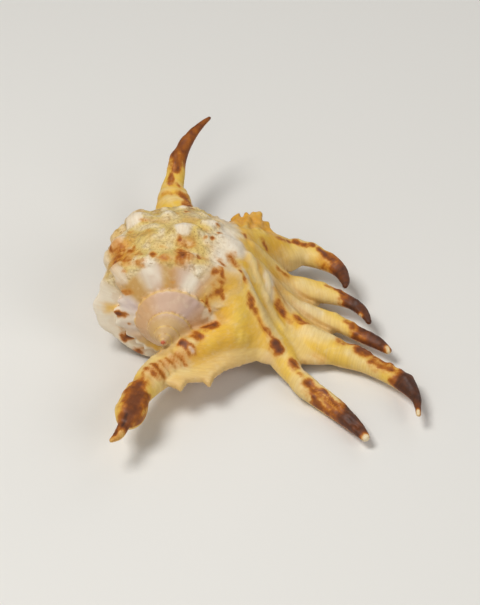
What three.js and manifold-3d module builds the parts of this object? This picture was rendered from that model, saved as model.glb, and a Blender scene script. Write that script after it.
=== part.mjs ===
// A scorpion conch shell, in millimetres, +Z up, lying with its opening down.
// The shell is first drawn with its spire's point at APEX, and then laid on the table by REST.
import * as THREE from 'three';
import { mergeVertices } from 'three/addons/utils/BufferGeometryUtils.js';
import Module from 'manifold-3d';

// Place on the table: turns about X and Y in degrees, then a shift in mm.
const REST = { turnX: 2.9, turnY: 1.2, shift: [-29.5, -34, -1.8] };
const FINEST_DETAIL = 0.05; // smaller steps in the joined surface are smoothed away

// The coil: its axis runs from the spire's point toward the siphonal canal, a little downhill.
const APEX = new THREE.Vector3(0, 0, 23);
const AXIS_DROP = 8; // degrees below level
const WHORL_GROWTH = 1.7; // size of a whorl against the one before it
const SUTURE_REACH = 19; // spire's point to the last suture, straight above the axis
const CONE_HALF_ANGLE = [[0.6, 31], [4, 35], [10, 39], [19, 41.5], [34, 44]]; // degrees, by reach
const WHORL_STEP = 7.5; // degrees that a whorl's shoulder stands out from its suture
const WHORL_RISE = [[0, 0], [0.12, 0.28], [0.45, 0.62], [0.74, 1], [0.9, 0.8], [1, 0]];
const BEADS_PER_WHORL = 18;

// Body whorl: radius round the axis in degrees, 0 at the back and 90 at the lip side.
const RING = [
  [-180, 18.3], [-135, 19], [-112, 22.5], [-95, 24.2], [-60, 24.6], [-30, 22.8], [0, 21.5],
  [30, 23], [60, 24], [90, 21], [130, 17.5], [180, 18.3],
];
// Share of that radius along the axis.
const PROFILE = [
  [0, 0], [8, 0.2], [13, 0.52], [17, 0.85], [20, 1], [24, 1], [32, 1.03], [40, 1], [46, 0.95],
  [52, 0.82], [58, 0.64], [63, 0.44], [68, 0.28], [72, 0.14], [75, 0],
];
const SHOULDER_AT = 20; // shoulder's distance from the spire's point, at the back
const BODY_LENGTH = 75;
// Spiral cords: distance along the axis, height, half width.
const CORDS = [
  [20.5, 1.0, 2.2], [25.5, 0.35, 1.2], [31, 1.3, 2.4], [36.5, 0.4, 1.2], [42, 1.3, 2.4],
  [46.5, 0.35, 1.2], [51, 1.1, 2.2], [56.5, 0.5, 1.5],
];
// Knobs: distance along the axis, angle in degrees, height, half width.
const KNOBS = [
  [20, -60, 1.2, 4], [20.5, -22, 1.6, 4.5], [21, 8, 1.3, 4], [22, 32, 1.8, 4.5], [24, 54, 2, 4.5],
  [31, -75, 1.5, 4], [31, -45, 1.5, 4], [33.5, 7, 2.6, 4], [32, 38, 2.2, 6],
  [44, -75, 2, 5], [42, -62, 1.8, 4.5], [42, -35, 1.5, 4], [43, 20, 1.2, 4],
  [51, -54, 3.6, 5], [50, -40, 1.6, 4.5], [51, 0, 1.5, 3.5],
  [26, -108, 2.4, 14], // the smooth callus bulge on the left
];

// Flared lip: points on its upper face, x, y, z.
const LIP_HEIGHTS = [
  [8, 62, 22], [14, 55, 27], [19, 48.5, 30.5], [21, 41, 33], [22, 33.5, 33.5], [21.5, 26, 33.5],
  [19, 20, 30.5], [16.5, 16, 24], [14, 13, 19], [11.5, 10, 17.5], [8, 6, 16.5],
  [25.5, 53, 24], [31.5, 58.5, 18], [27.5, 44.5, 24], [33, 44.5, 16], [29.5, 35.5, 24.5],
  [37, 34.5, 14], [27.5, 23.5, 25.5], [33, 18.5, 16.5], [37, 27, 14.5], [45, 23, 11.5],
  [36, 13, 12.5], [45, 12, 8.5], [52.5, 29.5, 7], [44.5, 39, 8], [34, 52.5, 11], [39, 60.5, 13.5],
  [30.5, 9.5, 11.5], [25, 4, 13.5], [21, -2, 15], [14, -7, 16], [6, -8, 17], [21.5, 8.5, 19.5],
  [24, 14, 23], [11, 59, 23], [16, 62, 24], [22, 64.5, 23], [26.5, 63.5, 19.5],
  [59, 18, 7.5], [59, 42, 7.5], [49, 54, 8.5], [44, 1, 6.5], [-4, -14, 15],
];
// The lip's edge in plan, from the siphonal canal round to the last digit.
const LIP_EDGE = [
  [0, 65], [6, 63.5], [11, 61], [13.5, 60.5], [15.5, 62.8], [18.5, 62.8], [21.5, 65.3], [23.6, 65.2],
  [24.6, 63.4], [27, 64], [29, 63], [33, 64], [37, 64.5], [41, 63],
  [40, 57.5], [37, 54.5], [34.5, 52.8], [36, 49.5], [41, 48], [47, 47],
  [47.5, 43], [46, 40.5], [44.5, 39.2], [46, 37.2], [50, 36.5], [54.5, 35],
  [55, 31], [52.5, 29.3], [54, 26], [57, 22], [58, 17.5], [54, 15.5], [50, 14], [45.5, 12.3],
  [46, 9.5], [45, 5.5], [42, 4], [38.5, 6], [35, 8.8], [30.5, 8.6], [25.5, 3.5], [21.3, -2.2],
  [18.6, -4.6], [17, -8], [14.6, -7.4], [12, -8.2], [9.8, -9.6], [8, -12.2], [6, -11.4], [2, -10], [-2, -10],
];
// The same outline closes inside the body, back to the canal.
const LIP_ROOT = [[-1, 2], [5, 8], [11, 16], [14, 29], [14, 41], [9, 52], [0, 56]];
const LIP_THICKNESS = 3.4;
const LIP_BOX = { min: [-6, -16], max: [63, 68], step: 3 };
// Underside of the thick inner lip: height by x, and the stretch of y where it is.
const INNER_LIP = { heights: [[12, 3], [16, 5], [22, 8], [28, 9.8], [36, 10.5], [50, 12]], y: [6, 16, 48, 58] };

// Digits and canal, each from its crest on the lip: x, y, z and radius along the middle.
const DIGITS = {
  canal: [
    [-3, 60, 11.5, 8.5], [-5.5, 68, 11.5, 7.4], [-7, 73.5, 12, 6.6], [-8, 76.5, 13.5, 5.4],
    [-9, 81, 15.5, 4.2], [-9.3, 86, 18, 3.4], [-9, 90.5, 20, 3], [-7.5, 96, 22, 2.5],
    [-5, 101, 24, 2], [-2.6, 105.4, 25, 1.4], [-0.5, 108.6, 25.5, 0.8],
  ],
  first: [
    [20, 50, 28.3, 1.6], [25.5, 55.5, 21.7, 2.4], [30, 58.5, 16.2, 4], [34, 59, 12, 4.6],
    [39.5, 60.5, 10.5, 4.3], [47, 57.5, 10.5, 3.4], [52, 54.5, 10.5, 2.8], [54.7, 49.5, 11, 2.1],
    [55, 45.5, 11.5, 1.3],
  ],
  second: [
    [23.5, 44, 28.4, 1.3], [30.5, 45.5, 18.3, 1.8], [36, 45, 11.8, 2.8], [40, 44.5, 9.4, 3.8],
    [45, 44.5, 8.5, 3.8], [52, 43.5, 8.5, 2.8], [58, 40.5, 8.5, 2.3], [62.5, 36.5, 9, 1.9],
    [65, 32.5, 9.5, 1.2],
  ],
  third: [
    [26.5, 36.5, 27.4, 1.3], [33, 36.5, 18.2, 1.6], [37.5, 35.5, 13, 2.1], [42, 34.5, 9.7, 3],
    [48, 34, 8, 3.3], [55, 31.5, 7.5, 2.8], [62.5, 27.5, 7, 2.5], [68, 24, 7.5, 2.2],
    [72.5, 21, 8, 1.4],
  ],
  fourth: [
    [23.5, 35, 31, 1.6], [30.5, 32.5, 22.2, 2], [36, 30.3, 14.6, 2.4], [42, 26.5, 10, 3.1],
    [48, 22, 8.6, 4.1], [56.5, 19.5, 7.5, 3.6], [65, 17, 7, 2.8], [73.3, 12, 7.5, 2.8],
    [79.5, 6, 8.5, 3], [83.3, 0, 9.5, 2], [85, -7, 10.5, 0.9],
  ],
  fifth: [
    [22, 25.5, 32, 1.8], [27, 21.5, 24.5, 2.2], [32.5, 17.5, 15.2, 3], [38, 13.5, 9.8, 4],
    [43.5, 7.5, 7.5, 4], [50, 0.5, 6.5, 3.8], [57.5, -6, 6.5, 3.7], [64, -12.5, 7.5, 3],
    [69, -18.5, 8.5, 1.5],
  ],
  sixth: [
    [24.5, 11.5, 17.6, 2], [21, 10.8, 18.9, 3.2], [17.5, 9.5, 19.3, 4.2], [13.5, 7.5, 18, 5], [10.3, 5.8, 16.5, 5.5],
    [5, 1.4, 15, 6], [-0.1, -4.3, 14.5, 5.8], [-3.5, -10.1, 15, 4.9], [-5.5, -16.2, 15, 4.5],
    [-6, -23, 15.5, 5.5], [-6.5, -29, 16, 3.8], [-8.5, -35, 16.5, 2.1], [-10.2, -38.3, 17, 1],
  ],
};

// The open space inside the last whorl, from the slot underneath up round the axis.
const APERTURE = {
  from: 25, to: 178, // degrees round the axis
  start: 21, end: 65, // along the axis
  middle: [[0, 12], [40, 13], [90, 13.5], [130, 13.5], [160, 16.5], [200, 22]], // radius by angle
  halfWidth: [[0, 3], [40, 4], [90, 4.5], [130, 4], [160, 3.6], [200, 3.6]],
};

const radians = THREE.MathUtils.degToRad;
const AXIS = new THREE.Vector3(0, Math.cos(radians(AXIS_DROP)), -Math.sin(radians(AXIS_DROP)));
const BACK = new THREE.Vector3(0, Math.sin(radians(AXIS_DROP)), Math.cos(radians(AXIS_DROP)));

// Straight lines through a list of [x, y] points.
function along(points, x) {
  let i = 0;
  while (i < points.length - 2 && x > points[i + 1][0]) i += 1;
  const [x0, y0] = points[i];
  const [x1, y1] = points[i + 1];
  return y0 + (y1 - y0) * THREE.MathUtils.clamp((x - x0) / (x1 - x0), 0, 1);
}

// A smooth curve through a list of [x, y] points that keeps their peaks.
function curveAt(points, x) {
  const slope = (i) => (points[i + 1][1] - points[i][1]) / (points[i + 1][0] - points[i][0]);
  const tangent = (i) => {
    if (i === 0) return slope(0);
    if (i === points.length - 1) return slope(i - 1);
    return slope(i - 1) * slope(i) <= 0 ? 0 : (slope(i - 1) + slope(i)) / 2;
  };
  let i = 0;
  while (i < points.length - 2 && x > points[i + 1][0]) i += 1;
  const width = points[i + 1][0] - points[i][0];
  const t = THREE.MathUtils.clamp((x - points[i][0]) / width, 0, 1);
  const s = 1 - t;
  return (1 + 2 * t) * s * s * points[i][1] + t * s * s * width * tangent(i)
    + t * t * (3 - 2 * t) * points[i + 1][1] - t * t * s * width * tangent(i + 1);
}

const ease = (from, to, x) => THREE.MathUtils.smoothstep(x, from, to);

function volumeOf(points, index) {
  let volume = 0;
  const normal = new THREE.Vector3();
  for (let i = 0; i < index.length; i += 3) {
    volume += points[index[i]].dot(normal.crossVectors(points[index[i + 1]], points[index[i + 2]])) / 6;
  }
  return volume;
}

// A closed solid through rings of points; every ring has the same number of points.
function loft(rings) {
  const count = rings[0].length;
  const points = rings.flat();
  const index = [];
  for (let r = 0; r < rings.length - 1; r += 1) {
    for (let i = 0; i < count; i += 1) {
      const a = r * count + i;
      const b = r * count + ((i + 1) % count);
      index.push(a, b, a + count, b, b + count, a + count);
    }
  }
  for (const [ring, flip] of [[0, true], [rings.length - 1, false]]) {
    const middle = points.length;
    const centre = new THREE.Vector3();
    rings[ring].forEach((p) => centre.addScaledVector(p, 1 / count));
    points.push(centre);
    for (let i = 0; i < count; i += 1) {
      const a = ring * count + i;
      const b = ring * count + ((i + 1) % count);
      if (flip) index.push(middle, b, a);
      else index.push(middle, a, b);
    }
  }
  if (volumeOf(points, index) < 0) index.reverse();
  const geometry = new THREE.BufferGeometry().setFromPoints(points);
  geometry.setIndex(index);
  return geometry;
}

// The point at an angle and radius round the coil's axis.
function onCoil(distance, degrees, radius) {
  return APEX.clone().addScaledVector(AXIS, distance)
    .addScaledVector(new THREE.Vector3(1, 0, 0), radius * Math.sin(radians(degrees)))
    .addScaledVector(BACK, radius * Math.cos(radians(degrees)));
}

// Past the lip side the coil's angle runs back to the start of the whorl, so that it closes.
const coilAngle = (degrees) => (degrees < 110 ? degrees : along([[110, 110], [180, -180]], degrees));

// The coiled spire's reach from its point, turned into a radius at a distance along the axis.
function spireRadius(degrees, distance) {
  const limit = SUTURE_REACH * WHORL_GROWTH ** (coilAngle(degrees) / 360 + 0.35);
  const radiusAndDistance = (reach) => {
    const turns = Math.log(reach / SUTURE_REACH) / Math.log(WHORL_GROWTH) - degrees / 360;
    const part = turns - Math.floor(turns);
    const beads = 0.1 * ease(3.5, 9, reach) * Math.max(0, Math.cos(radians(BEADS_PER_WHORL * degrees)))
      * Math.exp(-(((part - 0.78) / 0.14) ** 2));
    const rise = curveAt(WHORL_RISE, part) - 0.35 + beads;
    const cone = radians(curveAt(CONE_HALF_ANGLE, reach) + WHORL_STEP * rise);
    return [reach * Math.sin(cone), reach * Math.cos(cone)];
  };
  let low = 0.3;
  let high = 45;
  while (high - low > 0.01) {
    const reach = (low + high) / 2;
    if (radiusAndDistance(reach)[1] < distance) low = reach;
    else high = reach;
  }
  if (low < limit) return radiusAndDistance(low)[0];
  return radiusAndDistance(limit)[0] * Math.max(0, 1 - (low - limit) / 12);
}

// The body whorl's radius, with its cords.
function whorlRadius(degrees, distance) {
  const shoulder = SHOULDER_AT * WHORL_GROWTH ** (coilAngle(degrees) / 360);
  const shifted = distance - (shoulder - SHOULDER_AT) * (1 - ease(shoulder, 52, distance));
  const sides = ease(-150, -110, degrees) * (1 - ease(60, 95, degrees));
  let radius = curveAt(PROFILE, shifted) * curveAt(RING, degrees);
  for (const [at, height, width] of CORDS) {
    radius += sides * height * Math.exp(-(((shifted - at) / width) ** 2));
  }
  return radius;
}

function knobHeight(degrees, distance) {
  let height = 0;
  for (const [at, angle, rise, width] of KNOBS) {
    const turn = THREE.MathUtils.euclideanModulo(degrees - angle + 180, 360) - 180;
    const square = (radians(turn) * 23) ** 2 + (distance - at) ** 2;
    height += rise * Math.exp(-square / (width * 0.62) ** 2);
  }
  return height;
}

function coiledBody() {
  const around = 48;
  const distances = [0.25];
  for (let d = 1; d < 19; d += 0.9) distances.push(d);
  for (let d = 19.4; d < 74; d += 2) distances.push(d);
  const rings = distances.map((distance) => {
    const ring = [];
    for (let i = 0; i < around; i += 1) {
      const degrees = -180 + (360 * i) / around;
      const radius = Math.max(spireRadius(degrees, distance), whorlRadius(degrees, distance));
      ring.push(onCoil(distance, degrees, radius + knobHeight(degrees, distance)));
    }
    return ring;
  });
  return loft(rings);
}

// Solves a square set of linear equations; each row holds its right side last.
function solve(rows) {
  const n = rows.length;
  for (let c = 0; c < n; c += 1) {
    let best = c;
    for (let r = c + 1; r < n; r += 1) if (Math.abs(rows[r][c]) > Math.abs(rows[best][c])) best = r;
    [rows[c], rows[best]] = [rows[best], rows[c]];
    for (let r = 0; r < n; r += 1) {
      if (r === c) continue;
      const share = rows[r][c] / rows[c][c];
      for (let k = c; k <= n; k += 1) rows[r][k] -= share * rows[c][k];
    }
  }
  return rows.map((row, i) => row[n] / row[i]);
}

// The smooth surface, as of a thin bent plate, that passes close to a list of x, y, z points.
function thinPlate(points, slack = 2) {
  const bend = (x, y, p) => {
    const square = (x - p[0]) ** 2 + (y - p[1]) ** 2;
    return 0.5 * square * Math.log(Math.max(square, 1e-9));
  };
  const plane = (x, y) => [1, x, y];
  const rows = points.map((p, i) => [
    ...points.map((q, j) => bend(p[0], p[1], q) + (i === j ? slack : 0)), ...plane(p[0], p[1]), p[2],
  ]);
  for (let k = 0; k < 3; k += 1) rows.push([...points.map((p) => plane(p[0], p[1])[k]), 0, 0, 0, 0]);
  const weights = solve(rows);
  return (x, y) => {
    const flat = plane(x, y).reduce((sum, v, k) => sum + v * weights[points.length + k], 0);
    return points.reduce((sum, p, i) => sum + weights[i] * bend(x, y, p), flat);
  };
}

const lipPlate = thinPlate(LIP_HEIGHTS);

function lipBottom(x, y, thickness) {
  const [y0, y1, y2, y3] = INNER_LIP.y;
  const share = ease(y0, y1, y) * (1 - ease(y2, y3, y));
  const thin = lipPlate(x, y) - thickness;
  return thin - share * Math.max(0, thin - along(INNER_LIP.heights, x));
}

// The bent plate over the whole box round the lip, as rows of closed rings.
function lipSlab() {
  const rings = [];
  for (let y = LIP_BOX.min[1]; y <= LIP_BOX.max[1] + 1e-6; y += LIP_BOX.step) {
    const top = [];
    const bottom = [];
    for (let x = LIP_BOX.min[0]; x <= LIP_BOX.max[0] + 1e-6; x += LIP_BOX.step) {
      top.push(new THREE.Vector3(x, y, lipPlate(x, y)));
      bottom.unshift(new THREE.Vector3(x, y, lipBottom(x, y, LIP_THICKNESS)));
    }
    rings.push([...top, ...bottom]);
  }
  return loft(rings);
}

// An upright prism with the lip's outline.
function lipOutline() {
  const shape = new THREE.Shape([...LIP_EDGE, ...LIP_ROOT].map(([x, y]) => new THREE.Vector2(x, y)));
  return new THREE.ExtrudeGeometry(shape, { depth: 80, bevelEnabled: false }).translate(0, 0, -20);
}

// A tapering, bending spine through x, y, z, radius rows.
function spine(rows, sides = 10, steps = 2) {
  const middle = new THREE.CatmullRomCurve3(rows.map(([x, y, z]) => new THREE.Vector3(x, y, z)));
  const total = (rows.length - 1) * steps;
  const rings = [];
  const side = new THREE.Vector3(0, 0, 1);
  for (let i = 0; i <= total; i += 1) {
    const t = i / total;
    const centre = middle.getPoint(t);
    const tangent = middle.getTangent(t);
    const across = new THREE.Vector3().crossVectors(tangent, side).normalize();
    const up = new THREE.Vector3().crossVectors(across, tangent).normalize();
    const radius = curveAt(rows.map((row, k) => [k / (rows.length - 1), row[3]]), t);
    const ring = [];
    for (let k = 0; k < sides; k += 1) {
      const angle = (2 * Math.PI * k) / sides;
      ring.push(centre.clone().addScaledVector(across, radius * Math.cos(angle))
        .addScaledVector(up, -radius * Math.sin(angle)));
    }
    rings.push(ring);
  }
  const last = rings[rings.length - 1];
  const tip = middle.getPoint(1);
  const ahead = middle.getTangent(1).multiplyScalar(0.6 * rows[rows.length - 1][3]);
  rings.push(last.map((p) => p.clone().lerp(tip, 0.5).add(ahead)));
  return loft(rings);
}

function apertureSpace() {
  const outline = 8;
  const rings = [];
  for (let degrees = APERTURE.from; degrees <= APERTURE.to; degrees += 9) {
    const middle = curveAt(APERTURE.middle, degrees);
    const half = curveAt(APERTURE.halfWidth, degrees);
    const side = (sign) => {
      const points = [];
      for (let k = 0; k < outline; k += 1) {
        const share = (k + 0.5) / outline;
        const distance = APERTURE.start + (APERTURE.end - APERTURE.start) * share;
        const taper = Math.sqrt(Math.max(0, 1 - ((distance - 40) / 30) ** 2));
        const ends = Math.sin(Math.PI * share) ** 0.5;
        const radius = middle * (0.5 + 0.5 * taper) + sign * half * (0.25 + 0.75 * taper) * ends;
        points.push(onCoil(distance, degrees, radius));
      }
      return points;
    };
    rings.push([...side(1), ...side(-1).reverse()]);
  }
  return loft(rings);
}

const wasm = await Module();
wasm.setup();

function solid(geometry) {
  const bare = geometry.clone();
  bare.deleteAttribute('normal');
  bare.deleteAttribute('uv');
  const merged = mergeVertices(bare, 1e-4);
  return new wasm.Manifold(new wasm.Mesh({
    numProp: 3,
    vertProperties: new Float32Array(merged.attributes.position.array),
    triVerts: new Uint32Array(merged.index.array),
  }));
}

function toGeometry(body) {
  const mesh = body.getMesh();
  const geometry = new THREE.BufferGeometry();
  geometry.setAttribute('position', new THREE.BufferAttribute(new Float32Array(mesh.vertProperties), 3));
  geometry.setIndex(new THREE.BufferAttribute(new Uint32Array(mesh.triVerts), 1));
  geometry.computeVertexNormals();
  return geometry;
}

function placed(geometry) {
  geometry.rotateX(radians(REST.turnX));
  geometry.rotateY(radians(REST.turnY));
  geometry.translate(...REST.shift);
  return geometry;
}

function buildShell() {
  let shell = solid(placed(coiledBody()));
  shell = shell.add(solid(placed(lipSlab())).intersect(solid(placed(lipOutline()))));
  for (const rows of Object.values(DIGITS)) shell = shell.add(solid(placed(spine(rows))));
  shell = shell.subtract(solid(placed(apertureSpace())));
  const below = new THREE.BoxGeometry(300, 300, 20).translate(0, 0, -10);
  const pieces = shell.subtract(solid(below)).simplify(FINEST_DETAIL).decompose();
  // Joining leaves crumbs under a tenth of a millimetre, so the largest piece is the shell.
  return toGeometry(pieces.reduce((a, b) => (a.volume() > b.volume() ? a : b)));
}

const shellMaterial = new THREE.MeshStandardMaterial({ color: 0xe8cf9a, roughness: 0.45, metalness: 0 });

const part = new THREE.Group();
const shell = new THREE.Mesh(buildShell(), shellMaterial);
shell.name = 'shell';
part.add(shell);

export default part;
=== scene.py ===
import bpy
import numpy as np
from mathutils import Matrix, Vector


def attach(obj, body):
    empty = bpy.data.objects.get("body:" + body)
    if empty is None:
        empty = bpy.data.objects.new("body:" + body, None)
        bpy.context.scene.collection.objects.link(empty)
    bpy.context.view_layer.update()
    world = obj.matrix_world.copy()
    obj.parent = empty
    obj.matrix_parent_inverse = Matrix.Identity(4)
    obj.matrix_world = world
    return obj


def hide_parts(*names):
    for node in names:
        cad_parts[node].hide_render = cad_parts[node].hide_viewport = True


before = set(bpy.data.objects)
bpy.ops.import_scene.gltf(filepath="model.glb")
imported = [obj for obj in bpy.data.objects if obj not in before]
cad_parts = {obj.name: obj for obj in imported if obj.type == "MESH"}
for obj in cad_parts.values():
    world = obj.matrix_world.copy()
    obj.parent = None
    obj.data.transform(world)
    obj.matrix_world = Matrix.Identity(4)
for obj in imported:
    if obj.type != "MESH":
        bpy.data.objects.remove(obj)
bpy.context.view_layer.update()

# The shell is shaped in millimetres, before it is laid on the table. Its coil starts at the
# spire's point and runs toward the canal, a little downhill.
APEX = np.array([0.0, 0.0, 23.0])
AXIS_DROP = np.radians(8.0)
AXIS = np.array([0.0, np.cos(AXIS_DROP), -np.sin(AXIS_DROP)])
BACK = np.array([0.0, np.sin(AXIS_DROP), np.cos(AXIS_DROP)])
REST_TURN_X = np.radians(2.9)
REST_TURN_Y = np.radians(1.2)
REST_SHIFT = np.array([-29.5, -34.0, -1.8])
MM = 0.001

MESH_STEP = 0.58
SEED = 7

# The coil: each whorl is WHORL_GROWTH times the one before.
WHORL_GROWTH = 1.7
SUTURE_REACH = 19.0
SUTURE_AT = 14.8
CONE_HALF_ANGLE = [(0.6, 31), (4, 35), (10, 38.5), (19, 41), (34, 44)]
WHORL_STEP = 5.0
WHORL_RISE = [(0, 0.1), (0.05, 0.32), (0.45, 0.72), (0.8, 1.0), (0.93, 0.8), (1, 0.1)]
BEADS_PER_WHORL = 24
SPIRE_REACH = 36.0
# How far the spire runs on under the last whorl, in whorls and then fading in millimetres, and how
# far its blunt point reaches.
SPIRE_OVERLAP = 0.35
SPIRE_FADE = 12
SPIRE_NOSE = 0.9
# How many distances from its point the spire is worked out at, from the nearest one on.
SPIRE_STEPS = 1500
SPIRE_START = 0.5
# The angle where a whorl runs under the lip, and the crease between the spire and the last whorl.
WHORL_ENDS = 110
SUTURE_CREASE = 0.5
# The spire's beads, and the scallops beside its sutures: place and size as shares of a whorl. They
# grow in between these distances from the point.
SPIRE_BEAD_AT = 0.75
SPIRE_BEAD = 0.07
SPIRE_BEAD_WIDTH = 0.22
SCALLOP = 0.055
SCALLOP_WIDTH = 0.16
SPIRE_BEADS_FROM = (2, 8)
SCALLOPS_FROM = (2, 7)

# The last whorl: its radius round the coil in degrees (0 is the top), and along the axis.
RING = [
    (-180, 18.3), (-155, 19.4), (-135, 20.6), (-115, 23.4), (-95, 24.2), (-60, 24.6), (-30, 22.6),
    (0, 21.5), (30, 22.4), (60, 24), (90, 21), (130, 17.5), (180, 18.3)]
PROFILE = [
    (20, 1), (24, 1), (32, 1.03), (40, 1), (46, 0.95), (52, 0.82), (58, 0.64), (63, 0.44), (68, 0.28),
    (72, 0.14), (75, 0)]
RAMP = [(0, 0.05), (0.35, 0.5), (0.67, 0.87), (0.85, 0.96), (1, 1)]
# On the left the ramp has a terrace, with nodules along its rim.
RAMP_LEFT = [(0, 0.05), (0.12, 0.26), (0.22, 0.39), (0.34, 0.46), (0.7, 0.46), (0.86, 0.84), (1, 1)]
TERRACE_FROM = (-48, -72)
NODULE = 0.65
NODULE_AT = 0.28
NODULE_WIDTH = 0.22
# The nodules' height on the right, as a share, and how unevenly they are spaced.
NODULE_RIGHT = 0.1
NODULE_SHIFT = 0.8
NODULE_SHIFTS = 5
# How far the last suture waves along the axis, and how fast the last whorl sinks before it.
SUTURE_WAVE = 0.22
SUTURE_DROP = 3
# Where the glossy ramp gives way to the rough side: radius at each angle.
RAMP_EDGE = [
    (-160, 13), (-118, 15.2), (-91, 17), (-77, 17.4), (-54, 18.4), (-30, 19.8), (0, 19.9), (15, 19.4),
    (30, 18.8), (46, 16.9), (56, 15), (75, 12.5)]
# Where the shoulder is on top, and how far along the side's profile still follows it elsewhere.
SHOULDER_AT = 20.0
SHOULDER_FELT = 52
BODY_LENGTH = 75.0
# Spiral cords: distance along the axis, height, half width, beads in a turn, beaded share. They
# fade in and out between these angles.
CORDS_ROUND = (-150, -110, 60, 95)
CORDS = [
    (20.5, 0.7, 2, 17, 0.5), (25.5, 0.3, 1.1, 41, 0.6), (31, 0.9, 2.2, 15, 0.5),
    (36.5, 0.35, 1.1, 44, 0.6), (42, 0.9, 2.2, 16, 0.5), (46.5, 0.3, 1.1, 46, 0.6),
    (51, 0.9, 2, 17, 0.5), (56.5, 0.4, 1.4, 38, 0.5)]
# Knobs: distance along the axis, degrees round, height, half length, half width.
KNOBS = [
    (16.4, -22, 1.2, 2.4, 3.6), (17.2, -50, 0.9, 2.4, 4), (19.5, 11, 0.7, 2.4, 4),
    (19.6, 28, 1, 2.8, 4), (27.6, 38, 1, 4, 4.5), (30, -81, -2.2, 6, 6.5),
    (30.3, -65, 1.7, 3.4, 3.8), (31, -51, 2.3, 3.8, 4.4), (32.8, 7.4, 3.2, 4.2, 6.2),
    (34.3, 44, 2, 4.4, 6.8), (21.5, 50, 1.4, 3.4, 4), (43.5, -76, 1, 3.5, 4),
    (42.5, -63, 1.4, 3.4, 4.2), (42, -40, 3, 4.6, 5.8), (43.2, -13, 1.3, 2.4, 2.8),
    (40.5, 24, 1.7, 3.4, 4.4), (51, -55, 2.9, 4, 5), (50, -36, 0.8, 2.8, 3.4), (51, -4, 0.8, 2.4, 3),
    (50, 26, -1.4, 5, 8), (18, -98, 1.5, 8, 6.5), (25.6, -12, 0.7, 2.4, 3.4),
    (40.6, -54, -2.8, 2.4, 2.8), (31.5, -57.5, -1.6, 2, 1.8), (16.6, -147, 1.2, 4, 7),
    (35.5, -24, 0.8, 2.4, 3), (26, 22, 0.8, 2.4, 3.2)]
# The coil's radius that turns degrees into widths, and the knobs' profile.
KNOB_RADIUS = 23.0
KNOB_STEEPNESS = 1.4
KNOB_FLATNESS = 1.6

# The flared lip: points on its upper surface (x, y, height), and its outline seen from above.
LIP_HEIGHTS = [
    (8, 62, 21), (14, 55, 25.8), (19, 48.5, 30.5), (21, 41, 33), (22, 33.5, 33.5), (21.5, 26, 33.5),
    (19, 20, 30.5), (16.5, 16, 24), (14, 13, 19), (11.5, 10, 17.5), (8, 6, 16.5), (25.5, 53, 24),
    (31.5, 58.5, 17), (27.5, 44.5, 24), (33, 44.5, 16), (29.5, 35.5, 24.5), (37, 34.5, 14),
    (27.5, 23.5, 25.5), (33, 18.5, 16.5), (37, 27, 14.5), (45, 23, 11.5), (36, 13, 12.5), (45, 12, 8.5),
    (52.5, 29.5, 7), (44.5, 39, 8), (34, 52.5, 11), (39, 60.5, 13), (30.5, 9.5, 11.5), (25, 4, 13.5),
    (21, -2, 15), (14, -7, 16), (6, -8, 17), (21.5, 8.5, 19.5), (24, 14, 23), (11, 60, 22.6),
    (16, 63, 23.9), (22, 65.5, 24), (26.5, 63.5, 20.4), (59, 18, 7.5), (59, 42, 7.5), (49, 54, 8.5),
    (44, 1, 6.5), (-4, -14, 15)]
LIP_EDGE = [
    (0, 65), (6, 63.5), (11, 61), (13.3, 60.3), (14.6, 63), (16.2, 63.9), (17.4, 62.4), (18.8, 64.6),
    (20.2, 64), (21.6, 66.2), (23.8, 66.4), (24.3, 63.6), (26.9, 64.8), (28.4, 61.6), (30, 60.8),
    (33, 62), (37, 63.4), (41, 62.8), (40, 57.5), (37, 54.5), (34.2, 52.4), (35.4, 49.2), (41, 48.4),
    (47, 47.2), (47.5, 43), (46, 40.5), (44.5, 39.2), (46, 37.2), (50, 36.5), (54.5, 35), (55, 31),
    (52.5, 29.3), (54, 26), (57, 22), (58, 17.5), (54, 14.8), (50, 13.6), (44.8, 12.6), (45, 9.8),
    (44, 6.5), (41, 4.8), (37.4, 7.3), (34.6, 9.4), (30.3, 9.2), (25.2, 4.3), (20.7, -0.1),
    (18.1, -3.7), (17, -8.2), (14.4, -6.6), (11.8, -7.2), (9.6, -8.2), (8, -12.4), (6, -11), (2, -10),
    (-2, -10)]
LIP_ROOT = [(-1, 2), (5, 8), (11, 16), (14, 29), (14, 41), (9, 52), (0, 56)]
LIP_THICKNESS = 3.4
LIP_EDGE_SHARE = 0.8
LIP_THICKENS_OVER = 8
# How round the lip's edge is: between its faces, in plan, and how much less so on the frill.
LIP_FACES_ROUND = 0.5
LIP_PLAN_ROUND = 1.4
FRILL_SHARPER = 0.8
LIP_CELL = 0.4
LIP_LOW = (-14.0, -24.0)
LIP_SPAN = (90.0, 98.0)
# The thick inner side of the lip: how low it reaches at each x, and where along y.
INNER_LIP = [(12, 3), (16, 5), (22, 8), (28, 9.8), (36, 10.5), (50, 12)]
INNER_LIP_ALONG = (6, 16, 48, 58)
# The torn-looking frill beside the canal: where it fades in and out, its teeth in plan, and how far
# each side of the edge they are worked out.
FRILL_X = (9, 14, 27, 31)
FRILL_Y = (52, 58)
FRILL_TEETH = [(0.7, 1.9, 0), (0.4, 1.0, 20)]
FRILL_DEPTH = (-5, 3)

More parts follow.
